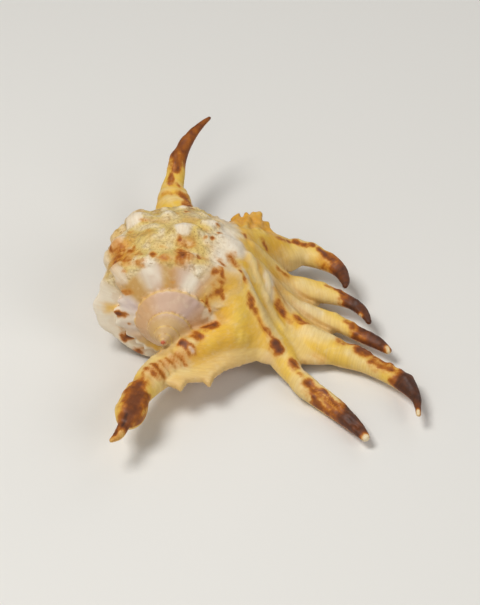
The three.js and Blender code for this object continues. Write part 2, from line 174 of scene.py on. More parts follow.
# The canal and the six digits: x, y, z and radius along each. The first five start on the lip.
DIGITS = {
    "canal": [(-3, 60, 11.5, 8.5), (-5.5, 68, 11.5, 7.4), (-7.5, 73, 12, 6.6), (-8.3, 76.5, 13.5, 5.6),
        (-9.5, 81, 15.5, 4), (-9.1, 86, 18, 3.3), (-9.1, 90.7, 20, 3.05), (-7.7, 96.3, 22, 2.4),
        (-5.4, 101.4, 24, 1.8), (-2.8, 105.7, 25, 1.2), (-0.5, 108.8, 25.5, 0.7)],
    "first": [(20, 50, 28, 1.6), (25.5, 54.8, 21.5, 2.4), (30, 57.4, 16, 3.6), (34, 58.2, 12, 4.3),
        (39.6, 60.8, 10.5, 4.1), (47.3, 58.4, 10.5, 3.4), (52.3, 54.9, 10.5, 2.6), (55, 49.8, 11, 1.7),
        (55.5, 46.6, 11.5, 0.9)],
    "second": [(23.5, 44, 28.4, 1.3), (30.5, 45.8, 18.3, 1.8), (36, 45.4, 11.8, 2.6),
        (40, 45.6, 9.4, 3.8), (45, 45.3, 8.5, 3.8), (52, 43.8, 8.5, 2.8), (58.4, 41.4, 8.5, 2.1),
        (62.8, 37.2, 9, 1.75), (65.1, 32.8, 9.5, 1)],
    "third": [(26.5, 36.5, 27.4, 1.3), (33, 36.5, 18.2, 1.6), (37.5, 35.7, 13, 2.1), (42, 34.7, 9.7, 3),
        (48, 34, 8, 3.2), (55.3, 32, 7.5, 2.8), (63, 28.5, 7, 2.5), (68.6, 25.4, 7.5, 2.2),
        (72.7, 21.8, 8, 1.25)],
    "fourth": [(23.5, 35, 31, 1.6), (30.5, 32.5, 22.2, 2), (36, 30.3, 14.6, 2.4), (42, 26.5, 10, 3.1),
        (48, 21.8, 8.6, 4.3), (56.5, 18.8, 7.5, 4.4), (65, 16.6, 7, 3.6), (73.3, 11.9, 7.5, 3),
        (80, 7.2, 8.5, 3.1), (84, 0.6, 9.5, 1.7), (85.1, -3.6, 10, 1.1), (85.7, -7.4, 10.5, 0.8)],
    "fifth": [(22, 25.5, 32, 1.8), (27, 21.5, 24.5, 2.2), (32.5, 17.5, 15.2, 3), (38.3, 13.2, 9.8, 3.7),
        (43.2, 6.8, 7.5, 3.4), (46.5, 3.6, 7, 3.9), (50.3, 0.7, 6.5, 3.7), (58, -5.1, 6.5, 3.4),
        (64.5, -11.7, 7.5, 2.6), (69.4, -17.9, 8.5, 1.5)],
    "sixth": [(24.5, 11.5, 17.6, 2), (21, 10.8, 18.9, 3.2), (17.5, 9.5, 19.3, 4.2), (13.5, 7.5, 18, 5),
        (10.3, 5.8, 16.5, 5.5), (5, 1.4, 15, 5.8), (-0.1, -4.3, 14.5, 5.5), (-3.3, -10.3, 15, 4.9),
        (-5.8, -16, 15, 4.5), (-6.3, -22.4, 15.5, 5), (-6.7, -25.6, 15.8, 4.6), (-7.6, -29.4, 16, 2.3),
        (-8.6, -34.8, 16.5, 1.7), (-10.4, -38, 17, 0.8)],
}
# Fillets: round the digits' roots and past them, with where along them the one becomes the other,
# and between the coil and the lip.
DIGIT_JOIN = (2.8, 0.5)
DIGIT_ROOT_ENDS = (0.3, 0.55)
BODY_JOIN = 3.0

# The aperture, a curved slot under the lip, round the coil and along it.
SLOT_ROUND = (25, 178)
SLOT_ALONG = (21, 65)
SLOT_MIDDLE = [(0, 12), (40, 13), (90, 13.5), (130, 13.5), (160, 16.5), (200, 22)]
SLOT_HALF = [(0, 3), (40, 4), (90, 4.5), (130, 4), (160, 3.6), (200, 3.6)]
# The slot narrows away from its widest place, and ends in rounded corners.
SLOT_WIDEST = 40
SLOT_TAPER = 30.0
SLOT_END = 2
# What is left of its distance from the axis and of its half width where it has narrowed most.
SLOT_MIDDLE_LEFT = 0.5
SLOT_HALF_LEFT = 0.25
# How round the rims of the slot and of the digits' grooves are.
SLOT_RIM = 2.6
GROOVE_RIM = 0.6
# How near the surface a groove is worked out.
GROOVE_FELT = 3
# The box that holds the whole shell.
BOX_LOW = np.array([-32.0, -44, -6])
BOX_HIGH = np.array([92.0, 114, 50])


def ease(low, high, x):
    """0 at low, 1 at high, and a smooth step between them."""
    t = np.clip((x - low) / (high - low), 0, 1)
    return t * t * (3 - 2 * t)


def band(edges, x):
    """Rises from 0 to 1 between the first two edges, and falls again between the last two."""
    a, b, c, d = edges
    return ease(a, b, x) * (1 - ease(c, d, x))


def hump(x, middle, width):
    """1 at the middle, and close to 0 twice this width away."""
    return np.exp(-((x - middle) / width) ** 2)


def join(a, b, width):
    """The union of two distances, with a fillet of about this width."""
    h = np.maximum(width - np.abs(a - b), 0) / width
    return np.minimum(a, b) - h * h * width / 4


def cut(a, b, width):
    """What two distances have in common, with a rounded edge."""
    return -join(-a, -b, width)


def curve(points, x):
    """A smooth line through (x, value) points that doesn't overshoot them."""
    xs, ys = np.array(points, float).T
    slope = np.diff(ys) / np.diff(xs)
    tangent = np.concatenate([slope[:1], (slope[:-1] + slope[1:]) / 2, slope[-1:]])
    tangent[1:-1][slope[:-1] * slope[1:] <= 0] = 0
    i = np.clip(np.searchsorted(xs, x) - 1, 0, len(xs) - 2)
    width = xs[i + 1] - xs[i]
    t = np.clip((x - xs[i]) / width, 0, 1)
    s = 1 - t
    return ((1 + 2 * t) * s * s * ys[i] + t * s * s * width * tangent[i]
            + t * t * (3 - 2 * t) * ys[i + 1] - t * t * s * width * tangent[i + 1])


def spline(rows, count=8):
    """Points along a smooth curve through the rows."""
    p = np.array(rows, float)
    p = np.vstack([2 * p[0] - p[1], p, 2 * p[-1] - p[-2]])
    t = np.arange(count)[:, None] / count
    out = []
    for a, b, c, d in zip(p, p[1:], p[2:], p[3:]):
        out.append(0.5 * (2 * b + (c - a) * t + (2 * a - 5 * b + 4 * c - d) * t ** 2
                          + (3 * b - a - 3 * c + d) * t ** 3))
    return np.vstack(out + [p[-2:-1]])


def lookup(table, a, b):
    """A value between the cells of a table."""
    a = np.clip(a, 0, table.shape[0] - 1.001)
    b = np.clip(b, 0, table.shape[1] - 1.001)
    i, j = a.astype(int), b.astype(int)
    fa, fb = a - i, b - j
    return (table[i, j] * (1 - fa) * (1 - fb) + table[i + 1, j] * fa * (1 - fb)
            + table[i, j + 1] * (1 - fa) * fb + table[i + 1, j + 1] * fa * fb)


LATTICE_SIZE = 32
LATTICE = np.random.default_rng(SEED).random((LATTICE_SIZE,) * 3)


def noise(p, size):
    """Smooth noise from -1 to 1 with lumps of about this size."""
    q = p / size
    i = np.floor(q).astype(int)
    t = q - i
    t = t * t * (3 - 2 * t)
    total = 0
    for corner in np.ndindex(2, 2, 2):
        weight = np.prod([t[:, a] if corner[a] else 1 - t[:, a] for a in range(3)], axis=0)
        j = (i + corner) % LATTICE_SIZE
        total = total + weight * LATTICE[j[:, 0], j[:, 1], j[:, 2]]
    return 2 * total - 1


def layered_noise(p, parts):
    """The sum of noises, each given by its strength, its size and where it is read."""
    return sum(strength * noise(p + away, size) for strength, size, away in parts)


def whorl_turns(reach, degrees):
    """How many whorls a point is past the last suture; below 0 is on the spire."""
    return np.log(reach / SUTURE_REACH) / np.log(WHORL_GROWTH) - degrees / 360


def past_seam(degrees):
    """Angles that run on past 180 degrees, under the shell."""
    return np.where(degrees < -120, degrees + 360, degrees)


class Coil:
    """The spire and the last whorl, as a radius at each angle round and distance along."""

    TURN = 0.4
    STEP = 0.1
    # Limits on the slopes that lean the distance, along the coil and round it.
    STEEPEST_LONG = 3
    STEEPEST_ROUND = 2
    LEAST_RADIUS = 2
    # The turns, in steps, over which the radius is averaged to find what stands out.
    AROUND = range(-44, 45, 11)

    def __init__(self):
        self.degrees = np.arange(-180, 180 + self.TURN, self.TURN)
        self.along = np.arange(0, BODY_LENGTH + 1, self.STEP)
        self.radius = np.array([self.section(d) for d in self.degrees])
        round_slope, long_slope = np.gradient(self.radius, np.radians(self.TURN), self.STEP)
        across = round_slope / np.maximum(self.radius, self.LEAST_RADIUS)
        across = np.clip(across, -self.STEEPEST_ROUND, self.STEEPEST_ROUND)
        down = np.clip(long_slope, -self.STEEPEST_LONG, self.STEEPEST_LONG)
        self.lean = 1 / np.sqrt(1 + down ** 2 + across ** 2)
        around = [np.roll(self.radius, turn, 0) for turn in self.AROUND]
        self.raised = self.radius - sum(around) / len(around)

    @staticmethod
    def angle(degrees):
        """Where a turn is on the coil: a whorl ends under the lip and the next one starts."""
        next_whorl = np.interp(degrees, [WHORL_ENDS, 180], [WHORL_ENDS, -180])
        return np.where(degrees < WHORL_ENDS, degrees, next_whorl)

    def spire(self, degrees, along):
        """The spire's radius at each distance along, on one line down its side."""
        reach = np.exp(np.linspace(np.log(SPIRE_START), np.log(SPIRE_REACH), SPIRE_STEPS))
        turns = whorl_turns(reach, degrees)
        bead = np.cos(np.radians(BEADS_PER_WHORL * degrees) + 2.1 * np.floor(turns))
        beside = hump((turns + 0.5) % 1, 0.5, SCALLOP_WIDTH)
        part = (turns + SCALLOP * bead * beside * ease(*SCALLOPS_FROM, reach)) % 1
        beads = SPIRE_BEAD * ease(*SPIRE_BEADS_FROM, reach) * bead
        beads = beads * hump(part, SPIRE_BEAD_AT, SPIRE_BEAD_WIDTH)
        rise = curve(WHORL_RISE, part) - 0.5 + beads
        cone = np.radians(curve(CONE_HALF_ANGLE, reach) + WHORL_STEP * rise)
        limit = SUTURE_REACH * WHORL_GROWTH ** (self.angle(degrees) / 360 + SPIRE_OVERLAP)
        out = reach * np.sin(cone)
        held = np.interp(limit, reach, out)
        out = np.where(reach > limit, held * np.clip(1 - (reach - limit) / SPIRE_FADE, 0, 1), out)
        nose = np.sqrt(np.clip(1 - (1 - np.clip(along / SPIRE_NOSE, 0, 1)) ** 2, 0, 1))
        return np.interp(along, np.maximum.accumulate(reach * np.cos(cone)), out) * nose

    def last_whorl(self, degrees, along, spire):
        """The last whorl's radius on the same line: its ramp, its shoulder, and its side."""
        size = WHORL_GROWTH ** (self.angle(degrees) / 360)
        shoulder = SHOULDER_AT * size
        start = SUTURE_AT * size + SUTURE_WAVE * np.cos(np.radians(BEADS_PER_WHORL * degrees))
        full = curve(RING, degrees)
        root = np.interp(start, along, spire)
        share = (along - start) / (shoulder - start)
        left = ease(*TERRACE_FROM, degrees)
        climb = np.clip(share, 0, 1)
        climb = (1 - left) * curve(RAMP, climb) + left * curve(RAMP_LEFT, climb)
        ramp = root + (full - root) * climb
        shift = NODULE_SHIFT * np.sin(np.radians(NODULE_SHIFTS * degrees))
        bead = np.cos(np.radians(BEADS_PER_WHORL * degrees) + shift)
        height = (NODULE_RIGHT + (1 - NODULE_RIGHT) * left) * NODULE
        ramp = ramp + height * bead * hump(share, NODULE_AT, NODULE_WIDTH)
        ramp = ramp - SUTURE_DROP * np.maximum(start - along, 0)
        v = along - (shoulder - SHOULDER_AT) * (1 - ease(shoulder, SHOULDER_FELT, along))
        radius = np.where(along < shoulder, ramp, full * curve(PROFILE, v))
        for at, height, width, count, beaded in CORDS:
            bead = 1 - beaded + beaded * np.cos(np.radians(count * degrees) + at)
            radius = radius + band(CORDS_ROUND, degrees) * height * bead * hump(v, at, width)
        return radius

    def section(self, degrees):
        """The radius with knobs, at each distance along, for one angle."""
        spire = self.spire(degrees, self.along)
        radius = cut(spire, self.last_whorl(degrees, self.along, spire), SUTURE_CREASE)
        for at, angle, rise, long_width, round_width in KNOBS:
            turn = (degrees - angle + 180) % 360 - 180
            gap = (np.radians(turn) * KNOB_RADIUS / round_width) ** 2
            gap = gap + ((self.along - at) / long_width) ** 2
            radius = radius + rise * np.exp(-KNOB_STEEPNESS * gap ** KNOB_FLATNESS)
        return radius

    def coordinates(self, p):
        """Distance along the axis, degrees round it (0 on top) and distance from it."""
        q = p - APEX
        x, z = q[:, 0], q @ BACK
        return q @ AXIS, np.degrees(np.arctan2(x, z)), np.hypot(x, z)

    def lookup(self, table, degrees, along):
        return lookup(table, (degrees + 180) / self.TURN, along / self.STEP)

    def distance(self, p):
        along, degrees, out = self.coordinates(p)
        d = (out - self.lookup(self.radius, degrees, along)) * self.lookup(self.lean, degrees, along)
        return np.maximum(np.maximum(d, -along), along - BODY_LENGTH)


def thin_plate(points, x, y, slack=2.0):
    """The height at x, y of a thin bent plate over the given points."""
    p = np.array(points, float)
    n = len(p)

    def bend(square):
        return 0.5 * square * np.log(np.maximum(square, 1e-9))

    square = ((p[:, None, :2] - p[None, :, :2]) ** 2).sum(-1)
    flat = np.c_[np.ones(n), p[:, :2]]
    matrix = np.block([[bend(square) + slack * np.eye(n), flat], [flat.T, np.zeros((3, 3))]])
    w = np.linalg.solve(matrix, np.r_[p[:, 2], 0, 0, 0])
    z = w[n] + w[n + 1] * x + w[n + 2] * y
    for i in range(n):
        z = z + w[i] * bend((x - p[i, 0]) ** 2 + (y - p[i, 1]) ** 2)
    return z


def line_distance(x, y, line):
    """How far each point is from a bent line."""
    best = np.full(np.shape(x), 1e9)
    for (ax, ay), (bx, by) in zip(line[:-1], line[1:]):
        dx, dy = bx - ax, by - ay
        t = np.clip(((x - ax) * dx + (y - ay) * dy) / (dx * dx + dy * dy), 0, 1)
        best = np.minimum(best, np.hypot(x - ax - t * dx, y - ay - t * dy))
    return best


def inside(x, y, outline):
    """Which points are inside a closed outline."""
    odd = np.zeros(x.shape, bool)
    for (ax, ay), (bx, by) in zip(outline, outline[1:] + outline[:1]):
        crosses = (ay > y) != (by > y)
        odd ^= crosses & (x < (bx - ax) * (y - ay) / (by - ay + 1e-12) + ax)
    return odd


def frill(p):
    """1 on the torn-looking frill of the lip beside the canal."""
    return ease(*FRILL_Y, p[:, 1]) * band(FRILL_X, p[:, 0])


class Lip:
    """The flared lip as maps over x and y: its top, its underside and its outline."""

    def __init__(self):
        x = LIP_LOW[0] + np.arange(0, LIP_SPAN[0], LIP_CELL)
        y = LIP_LOW[1] + np.arange(0, LIP_SPAN[1], LIP_CELL)
        x, y = np.meshgrid(x, y, indexing="ij")
        self.top = thin_plate(LIP_HEIGHTS, x, y)
        outline = LIP_EDGE + LIP_ROOT
        edge = line_distance(x, y, outline + outline[:1])
        self.plan = np.where(inside(x, y, outline), -edge, edge)
        away = ease(0, LIP_THICKENS_OVER, -self.plan)
        thin = self.top - LIP_THICKNESS * (LIP_EDGE_SHARE + (1 - LIP_EDGE_SHARE) * away)
        inner = band(INNER_LIP_ALONG, y) * np.maximum(0, thin - curve(INNER_LIP, x))
        self.bottom = thin - inner
        self.top_lean = self.lean(self.top)
        self.bottom_lean = self.lean(self.bottom)

    @staticmethod
    def lean(surface):
        """How much closer a leaning surface is than it is straight up."""
        slope_x, slope_y = np.gradient(surface, LIP_CELL)
        return 1 / np.sqrt(1 + slope_x ** 2 + slope_y ** 2)

    def at(self, table, p):
        return lookup(table, (p[:, 0] - LIP_LOW[0]) / LIP_CELL, (p[:, 1] - LIP_LOW[1]) / LIP_CELL)

    def distance(self, p):
        top = (p[:, 2] - self.at(self.top, p)) * self.at(self.top_lean, p)
        bottom = (self.at(self.bottom, p) - p[:, 2]) * self.at(self.bottom_lean, p)
        plan = self.at(self.plan, p)
        m = (frill(p) > 0) & (plan > FRILL_DEPTH[0]) & (plan < FRILL_DEPTH[1])
        plan[m] += frill(p[m]) * layered_noise(p[m], FRILL_TEETH)
        return cut(cut(top, bottom, LIP_FACES_ROUND), plan, LIP_PLAN_ROUND - FRILL_SHARPER * frill(p))


class Digit:
    """A tapering horn round a bent line, with a groove along its underside."""

    GROOVE_SIZE = 0.42
    GROOVE_DROP = 0.98
    GROOVE_RUN = (0.3, 0.45, 0.8, 0.95)
    GROOVE_FADE = (0.3, 0.4, 0.85, 0.95)
    GROOVE_LIFT = 0.6
    REACH = 10

    def __init__(self, rows):
        self.line = spline(rows)
        steps = np.linalg.norm(np.diff(self.line[:, :3], axis=0), axis=1)
        self.marks = np.r_[0, np.cumsum(steps)]
        self.length = self.marks[-1]
        self.low = self.line[:, :3].min(0) - self.REACH
        self.high = self.line[:, :3].max(0) + self.REACH

    def near(self, p):
        return ((p > self.low) & (p < self.high)).all(1)

    def measure(self, p, line=None):
        """Distance from the horn's surface, and how far along the horn that is."""
        line = self.line if line is None else line
        best = np.full(len(p), 1e9)
        along = np.zeros(len(p))
        for a, b, mark, step in zip(line, line[1:], self.marks, np.diff(self.marks)):
            ab = b[:3] - a[:3]
            t = np.clip(((p - a[:3]) @ ab) / (ab @ ab), 0, 1)
            gap = p - a[:3] - t[:, None] * ab
            d = np.sqrt((gap ** 2).sum(1)) - a[3] - t * (b[3] - a[3])
            closer = d < best
            best = np.where(closer, d, best)
            along = np.where(closer, mark + t * step, along)
        return best, along

    def groove(self):
        """The line of the groove, which starts past the root and ends before the tip."""
        line = self.line.copy()
        line[:, 2] -= self.GROOVE_DROP * line[:, 3]
        share = self.marks / self.length
        line[:, 3] *= self.GROOVE_SIZE * band(self.GROOVE_RUN, share)
        line[:, 3] -= self.GROOVE_LIFT * (1 - band(self.GROOVE_FADE, share))
        return line


coil = Coil()
lip = Lip()
digits = {name: Digit(rows) for name, rows in DIGITS.items()}


def slot_distance(p):
    """Distance from the aperture's slot, below 0 inside it."""
    along, degrees, out = coil.coordinates(p)
    degrees = past_seam(degrees)
    share = np.clip((along - SLOT_ALONG[0]) / (SLOT_ALONG[1] - SLOT_ALONG[0]), 0, 1)
    taper = np.sqrt(np.clip(1 - ((along - SLOT_WIDEST) / SLOT_TAPER) ** 2, 0, 1))
    middle = curve(SLOT_MIDDLE, degrees) * (SLOT_MIDDLE_LEFT + (1 - SLOT_MIDDLE_LEFT) * taper)
    half = curve(SLOT_HALF, degrees) * (SLOT_HALF_LEFT + (1 - SLOT_HALF_LEFT) * taper)
    half = half * np.sin(np.pi * share) ** 0.5
    ends = np.maximum(SLOT_ALONG[0] - along, along - SLOT_ALONG[1])
    span = np.maximum(SLOT_ROUND[0] - degrees, degrees - SLOT_ROUND[1]) * np.radians(1) * out
    return cut(cut(np.abs(out - middle) - half, ends, SLOT_END), span, SLOT_END)


def shell_distance(p):
    """Distance from the shell's surface, below 0 inside it."""
    at_root, at_tip = DIGIT_JOIN
    f = join(coil.distance(p), lip.distance(p), BODY_JOIN)
    for digit in digits.values():
        m = digit.near(p)
        if m.any():
            gap, along = digit.measure(p[m])
            near_tip = ease(*DIGIT_ROOT_ENDS, along / digit.length)
            f[m] = join(f[m], gap, at_root + (at_tip - at_root) * near_tip)
    for digit in digits.values():
        m = digit.near(p) & (np.abs(f) < GROOVE_FELT)
        if m.any():
            f[m] = cut(f[m], -digit.measure(p[m], digit.groove())[0], GROOVE_RIM)
    return cut(f, -slot_distance(p), SLOT_RIM)


def layers(ends):
    """An index that leaves out an axis's last layer where its end is 0, and its first where it is 1."""
    index = [slice(None)] * 3
    for axis, end in ends.items():
        index[axis] = slice(1, None) if end else slice(0, -1)
    return tuple(index)


def grow(mask):
    """The mask and its neighbours along each axis."""
    for axis in range(3):
        wider = mask.copy()
        first, last = layers({axis: 0}), layers({axis: 1})
        wider[last] |= mask[first]
        wider[first] |= mask[last]
        mask = wider
    return mask


def sample_near_surface(low, high, step, coarse=4, margin=1.7):
    """Distances on a grid, halved from a coarse one and worked out afresh only near the surface."""
    size = step * coarse
    count = np.ceil((high - low) / size).astype(int) + 1
    origin = low.copy()
    axes = [origin[i] + size * np.arange(count[i]) for i in range(3)]
    values = shell_distance(np.stack(np.meshgrid(*axes, indexing="ij"), -1).reshape(-1, 3))
    values = values.reshape(count)
    while size > step * 1.01:
        near = grow(np.abs(values) < margin * size)
        origin, size = origin - size / 4, size / 2
        for axis in range(3):
            near = np.repeat(near, 2, axis)
            values = np.repeat(values, 2, axis)
        cells = np.argwhere(near)
        values[near] = shell_distance(cells * size + origin)
    return values, origin, size


def settle(f, origin, step, rounds=3):
    """Clears lone cells, and fills cells where the surface would touch itself along an edge."""
    inside_value, outside_value = -0.1 * step, 0.1 * step
    for _ in range(rounds):
        for u, w in ((0, 1), (1, 2), (2, 0)):
            solid = f < 0
            a, b, c, d = (solid[layers({u: du, w: dw})] for du, dw in ((0, 0), (1, 0), (0, 1), (1, 1)))
            for cell in np.argwhere((a == d) & (b == c) & (a != b)):
                cell[u] += a[tuple(cell)]
                f[tuple(cell)] = inside_value
        solid = f < 0
        neighbours = [np.roll(solid, shift, axis).astype(np.int8) for axis in range(3) for shift in (1, -1)]
        around = sum(neighbours)
        f[solid & (around == 0)] = outside_value
        f[~solid & (around == 6)] = inside_value
    return f, origin, step


def net_vertices(f, cells, corners):
    """One vertex in each cell, amid the places where the cell's edges cross the surface."""
    place = np.zeros((len(cells), 3))
    count = np.zeros(len(cells))
    for corner in corners:
        for axis in range(3):
            if corner[axis]:
                continue
            other = list(corner)
            other[axis] = 1
            fa = f[tuple((cells + corner).T)]
            fb = f[tuple((cells + other).T)]
            m = (fa < 0) != (fb < 0)
            crossing = np.repeat(np.array(corner, float)[None], m.sum(), 0)
            crossing[:, axis] += fa[m] / (fa[m] - fb[m])
            place[m] += crossing
            count[m] += 1
    return cells + place / count[:, None]


def net_quads(solid, number):
    """A quad round each of the grid's edges that crosses the surface, facing outward."""
    quads = []
    for axis in range(3):
        u, w = (axis + 1) % 3, (axis + 2) % 3
        edges = np.argwhere(solid[layers({axis: 0})] != solid[layers({axis: 1})])
        edges = edges[(edges[:, u] > 0) & (edges[:, w] > 0)]
        corners = []
        for du, dw in ((1, 1), (0, 1), (0, 0), (1, 0)):
            cell = edges.copy()
            cell[:, u] -= du
            cell[:, w] -= dw
            corners.append(number[tuple(cell.T)])
        quad = np.stack(corners, 1)
        flip = ~solid[tuple(edges.T)]
        quad[flip] = quad[flip][:, ::-1]
        quads.append(quad)
    return np.vstack(quads)


def surface_nets(f, origin, step):
    """Vertices and quads of the surface where the grid's values are zero."""
    solid = f < 0
    corners = list(np.ndindex(2, 2, 2))
    total = sum(solid[layers(dict(enumerate(corner)))].astype(np.int8) for corner in corners)
    mixed = (total > 0) & (total < 8)
    number = np.full(mixed.shape, -1, np.int64)
    cells = np.argwhere(mixed)
    number[mixed] = np.arange(len(cells))
    return net_vertices(f, cells, corners) * step + origin, net_quads(solid, number)


def pull_to_surface(v, reach=0.05, furthest=0.3, least_slope=0.2):
    """Moves each vertex along the slope onto the exact surface."""
    f = shell_distance(v)
    slope = np.empty_like(v)
    for axis in range(3):
        step = np.zeros(3)
        step[axis] = reach
        slope[:, axis] = (shell_distance(v + step) - shell_distance(v - step)) / (2 * reach)
    steepness = np.maximum((slope ** 2).sum(1), least_slope)
    return v - np.clip(f / steepness, -furthest, furthest)[:, None] * slope


def vertex_normals(v, quads):
    """Each vertex's normal, from the faces round it."""
    a, b, c, d = (v[quads[:, i]] for i in range(4))
    face = np.cross(c - a, d - b)
    normals = np.zeros_like(v)
    for i in range(4):
        np.add.at(normals, quads[:, i], face)
    return normals / np.maximum(np.linalg.norm(normals, axis=1), 1e-9)[:, None]


# Colours, as they look on a screen.
GOLD = (230, 178, 54)
PALE_GOLD = (238, 201, 82)
DEEP_GOLD = (216, 150, 36)
CREAM = (230, 204, 140)
IVORY = (232, 216, 180)
CHALK = (238, 226, 204)
PORCELAIN = (222, 204, 180)
BLUSH = (206, 172, 146)
ROSE_TAN = (206, 162, 116)
MAUVE = (192, 162, 146)
HONEY = (204, 166, 104)
TAN = (190, 140, 72)
GRANULE_TAN = (202, 158, 74)
GRANULE_CREAM = (216, 188, 110)
APEX_RED = (186, 74, 44)
APRICOT = (226, 180, 132)
LILAC = (206, 184, 186)
MOUTH_BROWN = (168, 116, 100)


def linear(colour):
    """The light that a screen colour stands for."""
    c = np.array(colour, float) / 255
    return np.where(c < 0.04045, c / 12.92, ((c + 0.055) / 1.055) ** 2.4)


def tints(stops, x):
    """A colour that changes along x, through (x, colour) stops."""
    at = [s[0] for s in stops]
    colours = np.array([linear(s[1]) for s in stops])
    return np.stack([np.interp(x, at, colours[:, i]) for i in range(3)], 1)


def mix(a, b, weight):
    """From a to b, by a weight at each vertex."""
    return a + (b - a) * np.asarray(weight)[:, None]


def paint(ground, colour, weight):
    """The ground with a screen colour over it."""
    return mix(ground, linear(colour), weight)


def even(colour, v):
    """One screen colour at every vertex."""
    return linear(colour) + np.zeros_like(v)


# Round the coil in degrees: the glossy ramp of the last whorl, and the whorls before it.
RAMP_TINTS = [
    (-160, GOLD), (-140, HONEY), (-124, ROSE_TAN), (-108, MAUVE), (-82, PORCELAIN), (-66, PORCELAIN),
    (-54, HONEY), (-40, HONEY), (-28, PORCELAIN), (-16, BLUSH), (-4, HONEY), (6, ROSE_TAN),
    (16, PORCELAIN), (32, PORCELAIN), (44, BLUSH), (58, TAN), (74, HONEY), (90, GOLD)]
INNER_TINTS = [
    (-150, ROSE_TAN), (-80, ROSE_TAN), (-45, ROSE_TAN), (-15, BLUSH), (20, BLUSH), (50, MAUVE),
    (80, ROSE_TAN), (120, HONEY)]
# Soft tints on the coil: distance along its axis, degrees round, half sizes of each, and strength.
COIL_TINTS = [
    (16.8, -20, 1.6, 7, CHALK, 0.9), (19.2, -7, 1.6, 6, TAN, 0.5), (15.8, 3, 1.5, 6, TAN, 0.75),
    (17.6, 14, 2.2, 7, BLUSH, 0.8), (16.2, 27, 1.8, 9, CHALK, 0.9), (18, 42, 3, 7, ROSE_TAN, 0.8),
    (14.6, -45, 1.2, 8, TAN, 0.5), (15.4, -56, 0.9, 6, TAN, 0.8), (13.4, -74, 1.6, 10, LILAC, 0.7),
    (15.6, 66, 1.2, 7, IVORY, 0.8), (19, 60, 4.4, 13, GOLD, 1), (25, -50, 6, 11, DEEP_GOLD, 0.8),
    (22, -40, 2.6, 8, DEEP_GOLD, 0.6), (31, -62, 3, 5, CREAM, 0.6), (40, -64, 5, 7, GOLD, 0.6),
    (46, -48, 4, 8, GRANULE_TAN, 0.5), (38, -3, 4, 6, CREAM, 0.6), (35, 14, 2.6, 6, PALE_GOLD, 0.8),
    (33.6, 4, 2, 6, CHALK, 0.9), (33, 30, 4, 9, IVORY, 0.6), (35, 43, 6, 9, CHALK, 1),
    (26, 38, 4, 7, CHALK, 0.8), (40, 40, 3, 7, CHALK, 0.9), (41, -14, 3, 6, IVORY, 0.5),
    (47, 12, 4, 10, IVORY, 0.55), (20, -100, 12, 22, CHALK, 0.7), (26, -14, 4, 10, CREAM, 0.6),
    (51, -55, 4, 8, IVORY, 0.7), (16.5, -89, 0.5, 6, GOLD, 0.9)]
# Brown on the coil, in the same way.
COIL_BROWNS = [
    (27, 9, 2, 8, 0.42), (28.4, 4, 0.7, 3, 0.5), (21.6, 8, 3.2, 6.5, 0.56), (20.6, 16, 1.4, 3, 0.46),
    (22.1, 22, 1.4, 3, 0.46), (20.6, -17, 1.6, 4, 0.4), (20.6, -28, 1.4, 3, 0.36),
    (19.3, -7, 0.8, 6, 0.42), (17.7, -27, 0.8, 6, 0.34), (19, -38, 1.6, 6, 0.44),
    (25, -50, 4.6, 9, 0.46), (25.8, -45, 1.8, 2.4, 0.56), (22.6, -52, 2, 3, 0.5),
    (28.6, -55, 1.8, 3, 0.4), (24.4, -38, 1.8, 3.4, 0.42), (26.4, -36, 1.2, 2, 0.46),
    (20.4, -42, 1.8, 5, 0.44), (18.2, -39, 0.7, 5, 0.4), (21.6, -32, 1.4, 3, 0.4),
    # The row at 15.4 along and -112 degrees round is painted shade along the terrace's crease.
    (15.4, -112, 0.4, 9, 0.4), (16.6, -44, 0.4, 4, 0.32), (15, -57, 0.4, 5, 0.44),
    (13.8, -44, 0.35, 4, 0.36), (13.9, -90, 0.55, 5, 0.74), (15.4, -126, 0.9, 5, 0.7),
    (16.4, -148, 0.9, 7, 0.6), (12.7, -103, 0.3, 3, 0.4), (15.6, -82, 0.3, 4, 0.3),
    (14.9, -5, 0.3, 3, 0.46), (15.6, 3, 0.4, 5, 0.26), (23, 26, 0.9, 3, 0.3), (33.4, -26, 0.9, 3, 0.28),
    (44.5, -6, 0.8, 3, 0.34), (46, -30, 0.9, 4, 0.26), (36.4, 34, 0.8, 2, 0.56),
    (32.6, 30, 0.8, 2.2, 0.56), (15.4, 56, 0.5, 5, 0.44), (40.5, 30, 1, 2.4, 0.46),
    (44, 24, 1, 2.4, 0.46), (31.5, 24, 0.9, 2, 0.34), (19.8, 41, 1.1, 4, 0.5), (18.8, 49, 1.2, 5, 0.4),
    (17.4, 57, 1, 6, 0.44), (28.6, 48, 1.8, 4, 0.4), (35.4, -42, 0.9, 4, 0.3),
    (39.5, -32, 0.9, 4, 0.26), (24.6, -8, 0.7, 4, 0.26), (48, 4, 1, 3, 0.5), (53, 2, 1.6, 7, 0.5)]
